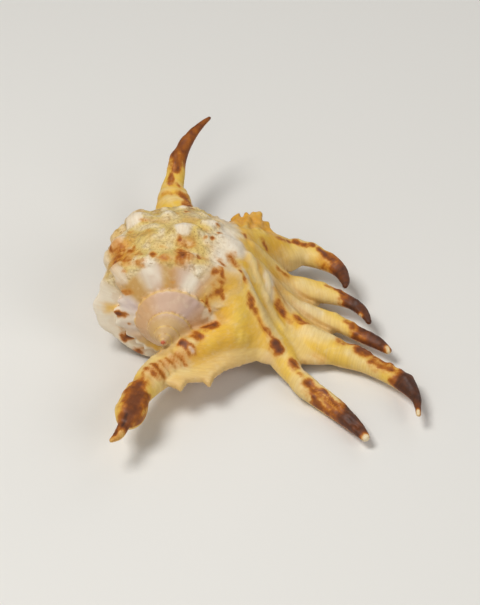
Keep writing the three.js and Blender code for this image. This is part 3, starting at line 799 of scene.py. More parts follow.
# Soft tints seen from above: a line from x, y to x, y, its half width, and strength.
PLAN_TINTS = [
    (33, 35, 36, 42, 2.6, DEEP_GOLD, 0.9), (26.5, 36, 27.4, 32, 0.9, DEEP_GOLD, 0.7),
    (24, 36, 27, 29, 1.2, CREAM, 0.7), (30.8, 34.5, 31.2, 28.6, 1.5, CHALK, 1),
    (30, 27, 34, 22, 1.3, CREAM, 0.7), (17, 40, 19, 35, 2.6, CHALK, 1),
    (31, 21, 34, 18, 1.2, CREAM, 0.8), (16, 31, 20, 28, 2.2, CREAM, 0.5),
    (44, 22, 52, 21, 1.8, CREAM, 0.9), (36, 40, 41, 44, 2.2, CREAM, 0.9),
    (44, 43, 54, 40, 2, CREAM, 0.7), (33, 49, 40, 57, 3, CREAM, 0.8),
    (46, 57.4, 48.4, 54, 1.6, DEEP_GOLD, 0.7), (21, 22, 28, 12, 4, PALE_GOLD, 0.35),
    (36, 20, 44, 16, 3, PALE_GOLD, 0.5), (27, 22.4, 36.6, 16, 1, CREAM, 0.8),
    (22.6, 28.6, 26.8, 23.6, 0.9, IVORY, 0.8), (48, 27, 55, 22.6, 1.4, IVORY, 0.8),
    (38, 31, 44, 35, 2.4, IVORY, 0.6), (44.6, 33.6, 48, 33, 1.2, CHALK, 0.8),
    (46, 33, 54, 29, 2, CREAM, 0.8), (2, -6, 8, -4, 2, CREAM, 0.9), (0, -12, 2, -9, 1.6, CREAM, 0.8),
    (12, 0, 22, 3, 3, DEEP_GOLD, 0.3), (36.5, 15.5, 39, 10.5, 1.2, CREAM, 0.7),
    (44.5, 9.5, 47, 6, 1.2, IVORY, 0.8), (48, 5, 60, -6, 1, CREAM, 0.8),
    (43, 3, 50, -4, 1.6, CREAM, 0.7), (-10, -14, -10.6, -26, 1.2, PALE_GOLD, 0.9),
    (-1.8, -14, -0.6, -24, 1.2, PALE_GOLD, 0.9), (14, 60, 24, 62, 4, DEEP_GOLD, 0.8),
    (7, -0.8, -2.4, -9, 2.4, ROSE_TAN, 0.8), (-5.6, -6, 2.6, 3, 1.6, CREAM, 0.8),
    (5, 4.6, 10.4, 4, 0.9, CREAM, 0.8), (-9.4, -36, -7.4, -33, 1, APRICOT, 0.9),
    (22, -1.6, 34, 9.4, 1.6, ROSE_TAN, 0.8), (60, 16.6, 70, 11, 1.4, CREAM, 0.6)]
# Brown seen from above, in the same way.
PLAN_BROWNS = [
    (15.4, 27, 16.6, 26, 1.2, 0.42), (16.2, 23.4, 16.6, 22, 1, 0.46), (16.6, 20, 17, 18.6, 0.9, 0.46),
    (12.4, 17.4, 13.4, 15.4, 0.7, 0.46), (18.6, 30.4, 20, 29, 1.8, 0.4),
    (22, 26.6, 22.6, 26, 0.7, 0.42), (23.8, 25.2, 24.4, 24, 0.8, 0.44),
    (26.1, 20.6, 26.7, 19.8, 1.3, 0.54), (28.5, 18.6, 29, 18, 1, 0.46),
    (30.2, 17.3, 30.8, 16.8, 0.8, 0.46), (31.9, 16.3, 33, 15.5, 1, 0.5),
    (34.2, 14.8, 34.8, 14.4, 0.8, 0.4), (35.7, 13, 36.9, 11.9, 1.6, 0.76),
    (42.2, 9, 43, 7.4, 1.5, 0.62), (44.8, 4.6, 45.6, 3.6, 1, 0.46), (48, 1.2, 51, -1.4, 1.7, 0.58),
    (51, -1.4, 58.4, -8.4, 1.9, 0.48), (51.4, -0.2, 59.6, -7, 0.7, 0.7),
    (50.6, -3.4, 58, -10.4, 0.6, 0.7), (11.9, 11.3, 13.4, 11.3, 0.9, 0.5),
    (13.8, 11.4, 15.6, 11.5, 1.9, 0.72), (13.2, 8.6, 14, 8.4, 0.7, 0.42),
    (9.8, 7.1, 12, 5.4, 1.6, 0.46), (6.4, 3, 9.4, 1.4, 1.6, 0.76), (4.6, -0.7, 7.8, -2.6, 0.8, 0.4),
    (6.8, -1.6, 8, -2.8, 0.9, 0.44), (3.4, -1.9, 6.6, -3.9, 0.6, 0.3), (6, -1.6, -1, -8.4, 2.2, 0.28),
    (2, -2.8, 5.2, -5, 0.9, 0.36), (0.2, -4.6, 3.2, -6.8, 1, 0.34), (-1.9, -6.4, 1.4, -8.8, 1.1, 0.44),
    (-4, -8.4, 0.2, -10.4, 1.1, 0.48), (-5.2, -10, -4.6, -10.4, 0.7, 0.36),
    (-5.4, -14.6, -5.1, -19, 3, 0.7), (-5.1, -19, -5, -26, 3.8, 0.76),
    (-6.2, -27, -7.4, -31.6, 2.6, 0.78), (-6.8, -28.4, -7.6, -31.6, 1.1, 0.96),
    (-9.2, -31.5, -9.8, -36.4, 0.8, 0.72), (32.4, 44.6, 36, 44.8, 0.8, 0.34),
    (33, 31.6, 38, 30.6, 0.8, 0.26), (35, 28.2, 36.8, 27, 1.5, 0.52),
    (38.3, 25.6, 39.4, 25.2, 0.9, 0.42), (41.4, 27, 44.2, 25.8, 1.6, 0.52),
    # The row from 48.6, 15.6 to 51.6, 14.8 is faint painted shade beside the fourth digit's root.
    (48.6, 15.6, 51.6, 14.8, 1.1, 0.24), (56.2, 20.6, 57.6, 20, 1.5, 0.46),
    (59.6, 20.6, 61.6, 19.8, 1, 0.5), (63.8, 18.4, 66, 17.4, 2, 0.68),
    (68.4, 14.6, 74.6, 11.6, 1.8, 0.56), (68.6, 16.8, 75, 13, 0.7, 0.6),
    (26.6, 51.4, 27.4, 50.6, 1.1, 0.4), (20.4, 47, 21.6, 44.6, 0.7, 0.4),
    (31, 58.4, 32.4, 58.8, 0.9, 0.44), (33.8, 60.1, 34.6, 60.3, 0.9, 0.54),
    (36.5, 60.9, 37.3, 61, 1, 0.6), (39, 61.2, 39.8, 61.2, 1, 0.6), (41.6, 61.3, 42.4, 61.2, 0.9, 0.6),
    (45, 60.2, 50, 56.4, 1.3, 0.7), (49.4, 45.8, 51, 45, 0.8, 0.46), (52.4, 44.8, 57.6, 42, 1, 0.6),
    (57.4, 31.4, 58.8, 30.6, 1.1, 0.5), (60, 29.8, 64, 27.8, 1.5, 0.5),
    (-9.4, 93, -8.8, 85.6, 1.5, 0.62), (-10.2, 83.4, -9.8, 80, 1.1, 0.46),
    (-6.4, 76.4, -3, 74.6, 1.4, 0.5), (-3.4, 72.4, 0, 70, 1.8, 0.5), (-11, 76, -9, 75, 0.9, 0.36),
    (-8.2, 80.6, -6.6, 79.6, 0.8, 0.36)]
# Spots over the brown, with a colour too: the pale ends, a few specks, and in the first, lilac row a
# painted highlight on the knob at the sixth digit's root.
SPOTS = [
    (9.2, 1.8, 10, 1.3, 0.7, LILAC, 0.8), (69.8, -18.8, 70.4, -20, 1.5, IVORY, 1),
    (85.3, -6.4, 85.5, -7.6, 0.9, IVORY, 1), (72.4, 22, 73.4, 20.4, 0.9, IVORY, 0.9),
    (61.4, 35.9, 62, 35.2, 0.6, IVORY, 0.8), (56, -2.4, 58, -4.6, 0.5, CREAM, 0.6)]
# Ridges, and hollows below 0, seen from above: a line, its half width, and height.
RIDGES = [
    (-13, 77, -3, 77.6, 1, 0.3), (-13, 73.6, -2, 74, 1, 0.3), (-11.6, 80, -5, 80.4, 0.8, 0.35),
    (-12, 87, -8, 88, 1, 0.35), (-9.6, 82, -9, 100, 0.6, 0.25), (-3, -1.4, -6, -9, 1.4, 0.35),
    (-9.4, -10.6, -2, -12.6, 1.1, -0.8), (5, 4.8, 10.6, 4.4, 1, 0.5), (6.8, 2.8, 9, 1.6, 1.6, 0.6),
    (4, -0.2, 7, -2, 0.5, -0.4), (3, -1.3, 6.2, -3.4, 0.5, 0.4), (1.6, -3.6, 4.8, -5.8, 0.6, 0.5),
    (-0.4, -5.4, 2.6, -7.8, 0.6, 0.5), (-2.4, -7.4, 1, -9.8, 0.6, 0.45),
    (-5.2, -15, -5, -26, 1.8, -0.7), (-7, -29.6, -7.6, -31.6, 1.2, -0.4),
    (-8.2, -33, -10, -37, 0.6, -0.3), (48, 1.4, 66, -14.4, 1, -0.7), (66, -14.4, 69, -17.6, 0.8, -0.5),
    (48.6, 4, 60, -6, 0.8, 0.4), (45, 1, 52, -5, 1, 0.4), (35.6, 13, 37, 11.8, 1.8, 0.5),
    (42, 9, 43, 7, 1.6, 0.4), (45, 24.4, 54, 22, 1.2, 0.6), (62, 20, 66, 18.6, 1.4, 0.5),
    (66, 16, 76, 11, 1.1, -0.4), (76.6, 8, 83, 1, 1.2, -0.5), (75, 14, 77.4, 12.4, 1.2, 0.6),
    (24, 36.5, 30.6, 27, 0.9, 0.5), (30.4, 34, 31.6, 27.4, 1, 0.5), (25.6, 24, 34, 15, 1, 0.45),
    (31, 27, 38, 21, 1.1, 0.4), (38, 35, 47, 33, 1.2, 0.4), (34, 34, 40, 28.6, 1, -0.4),
    (46, 60.6, 53, 53, 1, -0.4), (36, 62, 44, 62.4, 1.2, 0.4), (55, 43.6, 62, 37.6, 0.9, -0.4),
    (61, 29.4, 70, 23.4, 0.9, -0.4), (16, 60, 17, 52, 0.8, 0.5), (20, 62, 20, 54, 0.8, 0.5),
    (24, 62, 23.6, 55, 0.8, 0.5), (18, 61, 18.4, 53, 0.7, -0.4), (22, 62, 22, 55, 0.7, -0.4)]
# Each digit's dark end: where along it the brown starts, where it is darkest, and how dark.
DARK_ENDS = {
    "canal": (0.44, 0.7, 0.68), "first": (0.64, 0.88, 0.86), "second": (0.66, 0.83, 0.9),
    "third": (0.69, 0.85, 0.88), "fourth": (0.72, 0.83, 0.92), "fifth": (0.7, 0.83, 0.92),
    "sixth": (0.86, 0.97, 0.3),
}
# The lip's growth lines run round this point.
LIP_MIDDLE = (8.0, 28.0)
LIP_FAN_RADIUS = 40
# How far off the surface its hollows and crests are felt for, in millimetres.
NEAR = 2.2
# The mouth's fine ridges, across the underside: where they fade in and out, and how far apart.
MOUTH_ROUND = (60, 90)
MOUTH_OUT = (26, 34)
MOUTH_RIDGE_EVERY = 1.9
# Where the masks fade in and out: the coil by the distance from it, its last whorl by turns past
# the suture, the rough side by distance from RAMP_EDGE and along the axis, and the others by
# degrees round or distance along.
COIL_FADE = (0.4, 2.2)
LAST_WHORL_FADE = (-0.08, -0.02)
SIDE_FADE = (-0.8, 0.8)
SIDE_ALONG = (26, 32)
IVORY_ROUND = (-178, -152, -72, -58)
IVORY_ALONG = (24, 32)
SMOOTH_ROUND = (30, 46)
DIGIT_FADE = (0.2, 2.0)
DIGIT_ROOT = (0.28, 0.5)


def line_marks(rows, x, y):
    """How strongly each row marks each point seen from above, and the row's colour if it has one."""
    for x1, y1, x2, y2, half, *rest in rows:
        dx, dy = x2 - x1, y2 - y1
        t = np.clip(((x - x1) * dx + (y - y1) * dy) / (dx * dx + dy * dy), 0, 1)
        far = np.hypot(x - x1 - t * dx, y - y1 - t * dy) / half
        yield rest[-1] * (1 - ease(0.1, 2.0, far)), rest[0]


def coil_marks(rows, along, degrees):
    """The same for marks on the coil."""
    for a, d, half_along, half_degrees, *rest in rows:
        far = np.hypot((along - a) / half_along, (degrees - d) / half_degrees)
        yield rest[-1] * (1 - ease(0.1, 1.9, far)), rest[0]


# Small lumps and hollows on the digits and the lip: x, y, z, radius and height.
LUMPS = [
    (-10.5, 91.5, 22, 1.8, 0.5), (-6.3, 90, 21.5, 1.6, -0.2), (-12.4, 77.6, 17.6, 1.8, 0.3),
    (-4, 77.4, 17, 1.8, 0.4), (-2.6, 73.2, 17.4, 1.8, 0.6), (-9, 72.5, 19, 2.2, 0.5),
    (-10.5, 83.5, 18, 2, -0.3), (2.2, 1, 21, 2, 0.5), (-2, -8, 20, 2.4, 0.6), (-6.4, -13, 19, 2, -0.5),
    (-1.6, -14, 18, 2.2, -0.4), (-8.4, -18.8, 18.6, 1.8, 0.6), (-2.6, -20.4, 19, 2, 0.6),
    (-10.6, -24, 17.6, 2, 0.5), (-8.4, -29.6, 18, 1.6, -0.4), (46, 2.6, 10.6, 1.6, 0.5),
    (52.6, -2.4, 10, 1.8, 0.5), (56, -7.6, 9.6, 1.6, -0.3), (61, -11, 10.4, 1.8, 0.6),
    (46.4, -1, 8, 2, 0.8), (62.6, -7.4, 9.4, 1.6, -0.7), (56, 21.6, 10.8, 1.5, 0.5),
    (62, 19.2, 9.8, 1.4, 0.4), (68, 16.8, 10, 1.5, -0.3), (74, 13.4, 10.6, 1.6, 0.6),
    (80, 8, 11.4, 1.6, 0.5), (77, 13, 9, 1.6, -0.6), (81.6, 9.4, 9.6, 1.6, 0.5),
    (53.6, 34.4, 10, 1.4, 0.4), (60, 31, 9.6, 1.3, 0.5), (65.6, 27.4, 9.4, 1.3, 0.4),
    (48, 47.4, 11, 1.5, 0.4), (54, 45, 10.6, 1.4, 0.4), (59.6, 41, 10.6, 1.3, 0.4),
    (37, 62.6, 14, 1.6, 0.4), (42.6, 63, 13.4, 1.5, 0.4), (49, 59, 12.6, 1.5, 0.4)]


def carving(v, normals):
    """How far the ridges and lumps stand out at each vertex."""
    upper = ease(-0.3, 0.4, normals[:, 2])
    height = np.zeros(len(v))
    bent = [v[:, i] + 0.5 * noise(v + 15 * (i + 1), 2.2) for i in range(2)]
    for weight, _ in line_marks(RIDGES, *bent):
        height += weight * upper
    for x, y, z, radius, rise in LUMPS:
        height += rise * np.exp(-((v - (x, y, z)) ** 2).sum(1) / radius ** 2)
    return height


class Surface:
    """Where each vertex is on the shell, with the noise that breaks up its marks."""

    def __init__(self, v, normals):
        self.v, self.normals = v, normals
        self.wobble, self.fine = noise(v, 5.0), noise(v, 1.7)
        self.warp = [layered_noise(v, [(0.7, 3, away), (0.35, 1.2, -away)]) for away in (9, 18)]
        self.along, self.degrees, self.out = coil.coordinates(v)
        self.turns = whorl_turns(np.maximum(np.hypot(self.along, self.out), 0.3), self.degrees)
        self.raised = coil.lookup(coil.raised, self.degrees, self.along)
        self.plan = lip.at(lip.plan, v)
        self.under = ease(0.05, 0.5, -normals[:, 2])
        self.upper = 1 - self.under
        self.carved = carving(v, normals)
        # How far the surface is hollowed in or crested out here: the colours use these for painted shade in
        # hollows and a painted highlight on crests.
        self.hollow = ease(0.95, 0.6, shell_distance(v + NEAR * normals) / NEAR)
        self.crest = ease(0.1, 0.45, 1 + shell_distance(v - NEAR * normals) / NEAR)
        self.mark_coil()
        self.mark_digits()
        self.mark_growth()
        self.mark_mouth()
        self.mark_finish()

    def mark_coil(self):
        """The coil, its last whorl, and on that the rough side, its ivory part and its smooth part."""
        self.body = 1 - ease(*COIL_FADE, coil.distance(self.v))
        self.last = self.body * ease(*LAST_WHORL_FADE, self.turns)
        past_edge = self.out - curve(RAMP_EDGE, self.degrees)
        side = ease(*SIDE_FADE, past_edge + 1.1 * self.wobble + 0.8 * self.fine)
        self.side = np.maximum(side, ease(*SIDE_ALONG, self.along))
        degrees = self.degrees + 5 * self.wobble
        near_spire = 1 - ease(*IVORY_ALONG, self.along + 4 * self.wobble)
        rough = self.body * self.side
        self.ivory = band(IVORY_ROUND, degrees) * near_spire * rough
        self.smooth = ease(*SMOOTH_ROUND, degrees) * rough

    def mark_digits(self):
        """Where the digits are, and how dark their ends are."""
        self.on_digits = np.zeros(len(self.v))
        self.dark_ends = np.zeros(len(self.v))
        for name, digit in digits.items():
            m = digit.near(self.v)
            gap, mark = digit.measure(self.v[m])
            share = mark / digit.length
            on = 1 - ease(*DIGIT_FADE, gap)
            self.on_digits[m] = np.maximum(self.on_digits[m], on * ease(*DIGIT_ROOT, share))
            spread, full, dark = DARK_ENDS[name]
            end = ease(spread, full, share + 0.04 * self.wobble[m] + 0.025 * self.fine[m])
            dark = on * dark * end * (0.94 + 0.1 * self.wobble[m])
            self.dark_ends[m] = np.maximum(self.dark_ends[m], dark)

    def mark_growth(self):
        """Coordinates across and along the growth lines, on the lip and on the coil."""
        x, y = (self.v[:, i] - LIP_MIDDLE[i] for i in range(2))
        flat = 0 * self.along
        self.fan = np.hypot(x, y)
        on_lip = np.stack([self.fan, LIP_FAN_RADIUS * np.arctan2(y, x), flat], 1)
        on_coil = np.stack([np.radians(self.degrees) * KNOB_RADIUS, self.along, flat], 1)
        self.flow = mix(on_lip, on_coil, self.body)

    def mark_mouth(self):
        """Where the mouth is underneath, and the wave of its ridges."""
        mouth = ease(0.2, 0.7, -self.normals[:, 2]) * ease(*MOUTH_ROUND, past_seam(self.degrees))
        self.mouth = mouth * (1 - ease(*MOUTH_OUT, self.out)) * (1 - self.on_digits)
        wave = 2 * np.pi * self.along / MOUTH_RIDGE_EVERY + 0.8 * noise(self.v, 6.0)
        self.ridges = self.mouth * np.cos(wave)

    def mark_finish(self):
        """How glossy the shell is, and how rough its granules and warts are."""
        gloss = self.body * (1 - self.side) + self.under + 0.6 * self.ivory + 0.4 * self.smooth
        self.gloss = np.clip(gloss, 0, 1)
        rough = self.body * self.side * (1 - self.ivory) * (1 - 0.85 * self.smooth) * self.upper
        self.grain = rough * (1 - 0.85 * ease(0.5, 1.1, self.raised))
        self.wart = ease(0.25, 0.75, noise(self.v + 80, 2.5))

    def coil_place(self, along, degrees):
        """Place on the coil, bent by this much noise each way."""
        return self.along + along * self.warp[0], self.degrees + degrees * self.warp[1]

    def plan_place(self, by):
        """Place seen from above, bent by this much noise."""
        return self.v[:, 0] + by * self.warp[0], self.v[:, 1] + by * self.warp[1]


def spire_colour(s):
    """The whorls: rosy, with a pale line along each rim and a darker one in the suture."""
    degrees = s.degrees + 4 * s.wobble
    last = (s.turns >= 0)[:, None]
    colour = np.where(last, tints(RAMP_TINTS, degrees), tints(INNER_TINTS, degrees))
    colour = paint(colour, HONEY, ease(-0.9, -1.6, s.turns) * 0.75)
    part = s.turns % 1
    early = ease(0.1, -0.1, s.turns)
    colour = paint(colour, PALE_GOLD, early * 0.5 * hump(part, 0.94, 0.05))
    colour = paint(colour, TAN, early * 0.8 * hump(part, 0.02, 0.03))
    return paint(colour, APEX_RED, ease(-4.4, -5.2, s.turns) * 0.9)


def side_colour(s):
    """The rough side: cream and tan granules, and chalky knobs and warts."""
    patch = noise(s.v + 60, 3.4)
    colour = paint(even(GRANULE_CREAM, s.v), GRANULE_TAN, 0.8 * ease(0.0, 0.55, patch))
    colour = paint(colour, IVORY, 0.6 * ease(-0.05, -0.5, patch))
    knobs = 0.9 * ease(0.3, 1.0, s.raised + 0.15 * s.fine)
    colour = paint(colour, CHALK, np.maximum(knobs, 0.5 * s.wart))
    right = 0.6 * ease(24, 44, s.degrees + 5 * s.wobble)
    return paint(colour, CHALK, np.maximum(0.9 * s.ivory, right))


def lip_colour(s):
    """The lip and the digits: golden, rosier along the edge, with tinted lines, pale crests that also carry
    a painted highlight, and painted shade in the folds and hollows.
    """
    rings = np.stack([s.fan, 0 * s.fan, 0 * s.fan], 1)
    colour = even(GOLD, s.v)
    colour = paint(colour, PALE_GOLD, ease(-0.6, 0.8, s.wobble + 0.6 * noise(rings, 4.0)) * 0.6)
    colour = paint(colour, ROSE_TAN, 0.5 * ease(-5, -0.5, s.plan) * (1 - ease(58, 62, s.v[:, 1])))
    colour = paint(colour, PALE_GOLD, 0.75 * s.on_digits)
    for weight, tint in line_marks(PLAN_TINTS, *s.plan_place(1)):
        colour = paint(colour, tint, weight * s.upper)
    # Cream on the raised ridges is partly the shell's own pale crests and partly a painted highlight on
    # every convex crest.
    pale_crests_and_highlight = np.maximum(ease(0.1, 0.5, s.carved), 0.7 * s.crest) * s.upper * (1 - frill(s.v))
    colour = paint(colour, CREAM, 0.7 * pale_crests_and_highlight)
    # Tan in the carved troughs and concave hollows is painted shade.
    return paint(colour, TAN, 0.5 * np.maximum(ease(-0.1, -0.5, s.carved), s.hollow) * s.upper)


def outer_colour(s):
    """The ground under the brown, from above, with painted shade in the last whorl's hollows."""
    colour = mix(lip_colour(s), mix(spire_colour(s), side_colour(s), s.side), s.body)
    # Tan in the last whorl's hollows is painted shade.
    colour = paint(colour, TAN, 0.35 * s.hollow * s.last)
    for weight, tint in coil_marks(COIL_TINTS, *s.coil_place(1, 3)):
        colour = paint(colour, tint, weight * s.last)
    return colour


def brown_marks(s):
    """How brown each vertex is, from 0 to 1."""
    brown = s.dark_ends
    for weight, _ in coil_marks(COIL_BROWNS, *s.coil_place(0.8, 2.5)):
        brown = np.maximum(brown, weight * s.last)
    for weight, _ in line_marks(PLAN_BROWNS, *s.plan_place(0.8)):
        brown = np.maximum(brown, weight * s.upper)
    return brown * (1 - 0.5 * s.under) * (0.9 + 0.25 * s.fine * (1 - s.on_digits))


def under_colour(s, colour):
    """The glazed underside: apricot and ivory, and brown between the mouth's ridges."""
    glaze = paint(even(APRICOT, s.v), IVORY, ease(-9, -3, s.plan) * 0.4)
    colour = mix(colour, glaze, s.under * (1 - s.ivory) * (1 - 0.6 * s.on_digits))
    return paint(colour, MOUTH_BROWN, 0.5 * s.mouth * ease(0.3, -0.7, s.ridges))


def look_of(s):
    """What the material reads at each vertex."""
    ground, brown = outer_colour(s), brown_marks(s)
    for weight, tint in line_marks(SPOTS, *s.plan_place(0.5)):
        ground = paint(ground, tint, weight)
        brown = brown * (1 - weight)
    ground = under_colour(s, ground)
    return {"ground": ground, "brown": brown, "gloss": s.gloss, "grain": s.grain, "flow": s.flow}


# Relief: heights in millimetres. A layer of noise is its height, its size and where it is read.
GROWTH_LINE = 0.06
SWELL, SWELL_SIZE = 0.12, 4.5
GRANULES = [(0.24, 1.5, 0), (0.2, 2.6, 30)]
FINE_GRANULES = 0.12
WART = 0.45
MOUTH_RIDGE = 0.16
FRILL_FOLDS = [(0.6, 2.4, 0), (0.35, 1.3, 50)]
RIPPLE, SIXTH_RIPPLE = 0.07, 0.16


def ripples(s):
    """Rings round the upper side of each digit."""
    height = np.zeros(len(s.v))
    for name, digit in digits.items():
        m = digit.near(s.v)
        gap, mark = digit.measure(s.v[m])
        rings = np.stack([mark, 0 * mark, 0 * mark + len(name) * 7], 1)
        fade = ease(-0.1, 0.5, s.normals[m, 2]) * (1 - ease(0.9, 1, mark / digit.length))
        amount = SIXTH_RIPPLE if name == "sixth" else RIPPLE
        height[m] += (1 - ease(0.3, 1.6, gap)) * amount * noise(rings, 1.5) * fade
    return height


def relief(s):
    """How far each vertex stands out from the plain form."""
    lines = noise(s.flow * (1, 0.12, 1), 1.3) + 0.6 * noise(s.flow * (1, 0.1, 1) + 40, 2.6)
    height = GROWTH_LINE * (1 - s.gloss) * (1 - s.grain) * lines
    height += SWELL * (1 - 0.8 * s.gloss) * noise(s.v, SWELL_SIZE)
    height += s.grain * (layered_noise(s.v, GRANULES) + FINE_GRANULES * s.fine + WART * s.wart)
    height += frill(s.v) * layered_noise(s.v, FRILL_FOLDS)
    return height + s.carved + MOUTH_RIDGE * s.ridges + ripples(s)


def to_row(p):
    """From the shell's own frame in millimetres to where it lies, in metres."""
    turn = Matrix.Rotation(REST_TURN_Y, 3, "Y") @ Matrix.Rotation(REST_TURN_X, 3, "X")
    return (p @ np.array(turn).T + REST_SHIFT) * MM


def add_attribute(mesh, name, values):
    kind = "FLOAT" if values.ndim == 1 else "FLOAT_COLOR" if name == "ground" else "FLOAT_VECTOR"
    attribute = mesh.attributes.new(name, kind, "POINT")
    if kind == "FLOAT_COLOR":
        values = np.c_[values, np.ones(len(values))]
    field = {"FLOAT": "value", "FLOAT_COLOR": "color", "FLOAT_VECTOR": "vector"}[kind]
    attribute.data.foreach_set(field, values.astype(np.float32).ravel())


def make_shell(material):
    """The one visible piece: its mesh, its relief and the attributes that its material reads."""
    v, quads = surface_nets(*settle(*sample_near_surface(BOX_LOW, BOX_HIGH, MESH_STEP)))
    v = pull_to_surface(v)
    surface = Surface(v, vertex_normals(v, quads))
    placed = to_row(v + surface.normals * relief(surface)[:, None])
    placed[:, 2] = np.maximum(placed[:, 2], 0)
    mesh = bpy.data.meshes.new("conch")
    mesh.from_pydata(placed.tolist(), [], quads.tolist())
    mesh.shade_smooth()
    for name, values in look_of(surface).items():
        add_attribute(mesh, name, values)
    mesh.materials.append(material)
    shell = bpy.data.objects.new("conch", mesh)
    bpy.context.scene.collection.objects.link(shell)
    return shell


class Nodes:
    """A short way to write a material's nodes. A value is a number, a colour or an output."""

    def __init__(self, name):
        self.material = bpy.data.materials.new(name)
        self.material.use_nodes = True
        self.tree = self.material.node_tree
        self.shader = self.tree.nodes["Principled BSDF"]

    def link(self, value, socket):
        if isinstance(value, bpy.types.NodeSocket):
            self.tree.links.new(value, socket)
        else:
            socket.default_value = value

    def add(self, kind, inputs, output=0, **settings):
        """A node's output, with these settings and these values or links in its inputs."""
        node = self.tree.nodes.new("ShaderNode" + kind)
        for name, value in settings.items():
            setattr(node, name, value)
        for name, value in inputs.items():
            self.link(value, node.inputs[name])
        return node.outputs[output]

    def attribute(self, name, output="Fac"):
        return self.add("Attribute", {}, output, attribute_name=name)

    def math(self, operation, a, b, clamp=False):
        return self.add("Math", {0: a, 1: b}, operation=operation, use_clamp=clamp)

    def times(self, a, b):
        return self.math("MULTIPLY", a, b)

    def plus(self, a, b):
        return self.math("ADD", a, b)

    def scaled(self, vector, factors):
        return self.add("VectorMath", {0: vector, 1: factors}, operation="MULTIPLY")

    def noise(self, vector, scale, detail, rough):
        inputs = {"Vector": vector, "Scale": scale, "Detail": detail, "Roughness": rough}
        return self.add("TexNoise", inputs, "Fac")

    def cells(self, vector, scale):
        inputs = {"Vector": vector, "Scale": scale, "Smoothness": 0.4}
        return self.add("TexVoronoi", inputs, "Distance", feature="SMOOTH_F1")

    def range(self, value, low, high, to_low=0.0, to_high=1.0):
        inputs = {"Value": value, "From Min": low, "From Max": high, "To Min": to_low, "To Max": to_high}
        return self.add("MapRange", inputs, "Result", interpolation_type="SMOOTHSTEP")

    def mix(self, weight, a, b):
        """Colour b over colour a. The node's colours are its inputs 6 and 7, and its output 2."""
        a, b = ((*linear(value), 1) if isinstance(value, tuple) else value for value in (a, b))
        return self.add("Mix", {"Factor": weight, 6: a, 7: b}, 2, data_type="RGBA")

    def ramp(self, value, stops):
        """The colour at this value, between (place, colour) stops."""
        node = self.tree.nodes.new("ShaderNodeValToRGB")
        elements = node.color_ramp.elements
        while len(elements) < len(stops):
            elements.new(0.5)
        for element, (place, colour) in zip(elements, stops):
            element.position = place
            element.color = (*linear(colour), 1)
        self.link(value, node.inputs[0])
        return node.outputs["Color"]


BROWNS = [(0.0, (224, 170, 76)), (0.22, (204, 136, 46)), (0.42, (166, 94, 26)),
          (0.62, (120, 64, 28)), (0.8, (80, 46, 30)), (1.0, (58, 40, 34))]
# Painted shade in the gaps between the granules, and also the colour of the shell's own dark specks.
SPECK_AND_GAP_SHADE = (150, 102, 38)
# Scales of the material's patterns, as repeats in a metre, or in a millimetre along the growth lines.
PATCH_SCALE, BLOTCH_SCALE, DOT_SCALE, GRANULE_SCALE = 420, 300, 1300, 800
STREAK_SCALE, HAIR_SCALE, RAY_SCALE = 1.4, 4.0, 1.1
BUMP_HEIGHT = 0.0003
BUMP_STRENGTH = 0.7
SPECULAR = 0.28


def ground_nodes(n, parts):
    """The ground colour with growth lines, pale patches, dark specks, and painted shade in the crevices
    between the granules.
    """
    gloss, grain, patches, dots = (parts[name] for name in ("gloss", "grain", "patches", "dots"))
    streaks = n.noise(n.scaled(parts["flow"], (1.0, 0.12, 1)), STREAK_SCALE, 3, 0.6)
    dull = n.range(gloss, 0, 1, 1, 0.1)
    plain = n.times(n.range(grain, 0, 1, 1, 0.3), dull)
    colour = n.attribute("ground", "Color")
    colour = n.mix(n.times(n.range(streaks, 0.3, 0.7), n.times(plain, 0.26)), colour, TAN)
    colour = n.mix(n.times(n.range(parts["hairs"], 0.4, 0.7), n.times(dull, 0.08)), colour, IVORY)
    colour = n.mix(n.times(n.range(patches, 0.5, 0.75), 0.2), colour, IVORY)
    # Darkening in the gaps between the granules is painted shade.
    gap_shade = n.times(n.range(parts["granules"], 0.36, 0.62), n.range(patches, 0.42, 0.66, 0.0, 0.5))
    specks = n.times(n.range(dots, 0.56, 0.68), n.range(patches, 0.36, 0.6, 0.8, 0.1))
    return n.mix(n.times(n.math("MAXIMUM", gap_shade, specks), grain), colour, SPECK_AND_GAP_SHADE)


def brown_nodes(n, parts, ground):
    """The brown marks over the ground, blotched where they are faint and steady where they are dark."""
    brown = n.attribute("brown")
    rays = n.noise(n.scaled(parts["flow"], (0.1, 1.0, 1)), RAY_SCALE, 3, 0.6)
    blotches = n.noise(parts["place"], BLOTCH_SCALE, 4, 0.6)
    uneven = n.range(n.plus(n.times(blotches, 1.1), n.times(rays, 0.5)), 0.5, 1.1, 0.56, 1.36)
    freedom = n.range(n.range(brown, 0.44, 0.64), 0, 1, 1, 0.3)
    uneven = n.plus(n.times(n.math("SUBTRACT", uneven, 1.0), freedom), 1.0)
    brown = n.math("MULTIPLY", brown, uneven, True)
    return n.mix(n.range(brown, 0.04, 0.4), ground, n.ramp(brown, BROWNS))


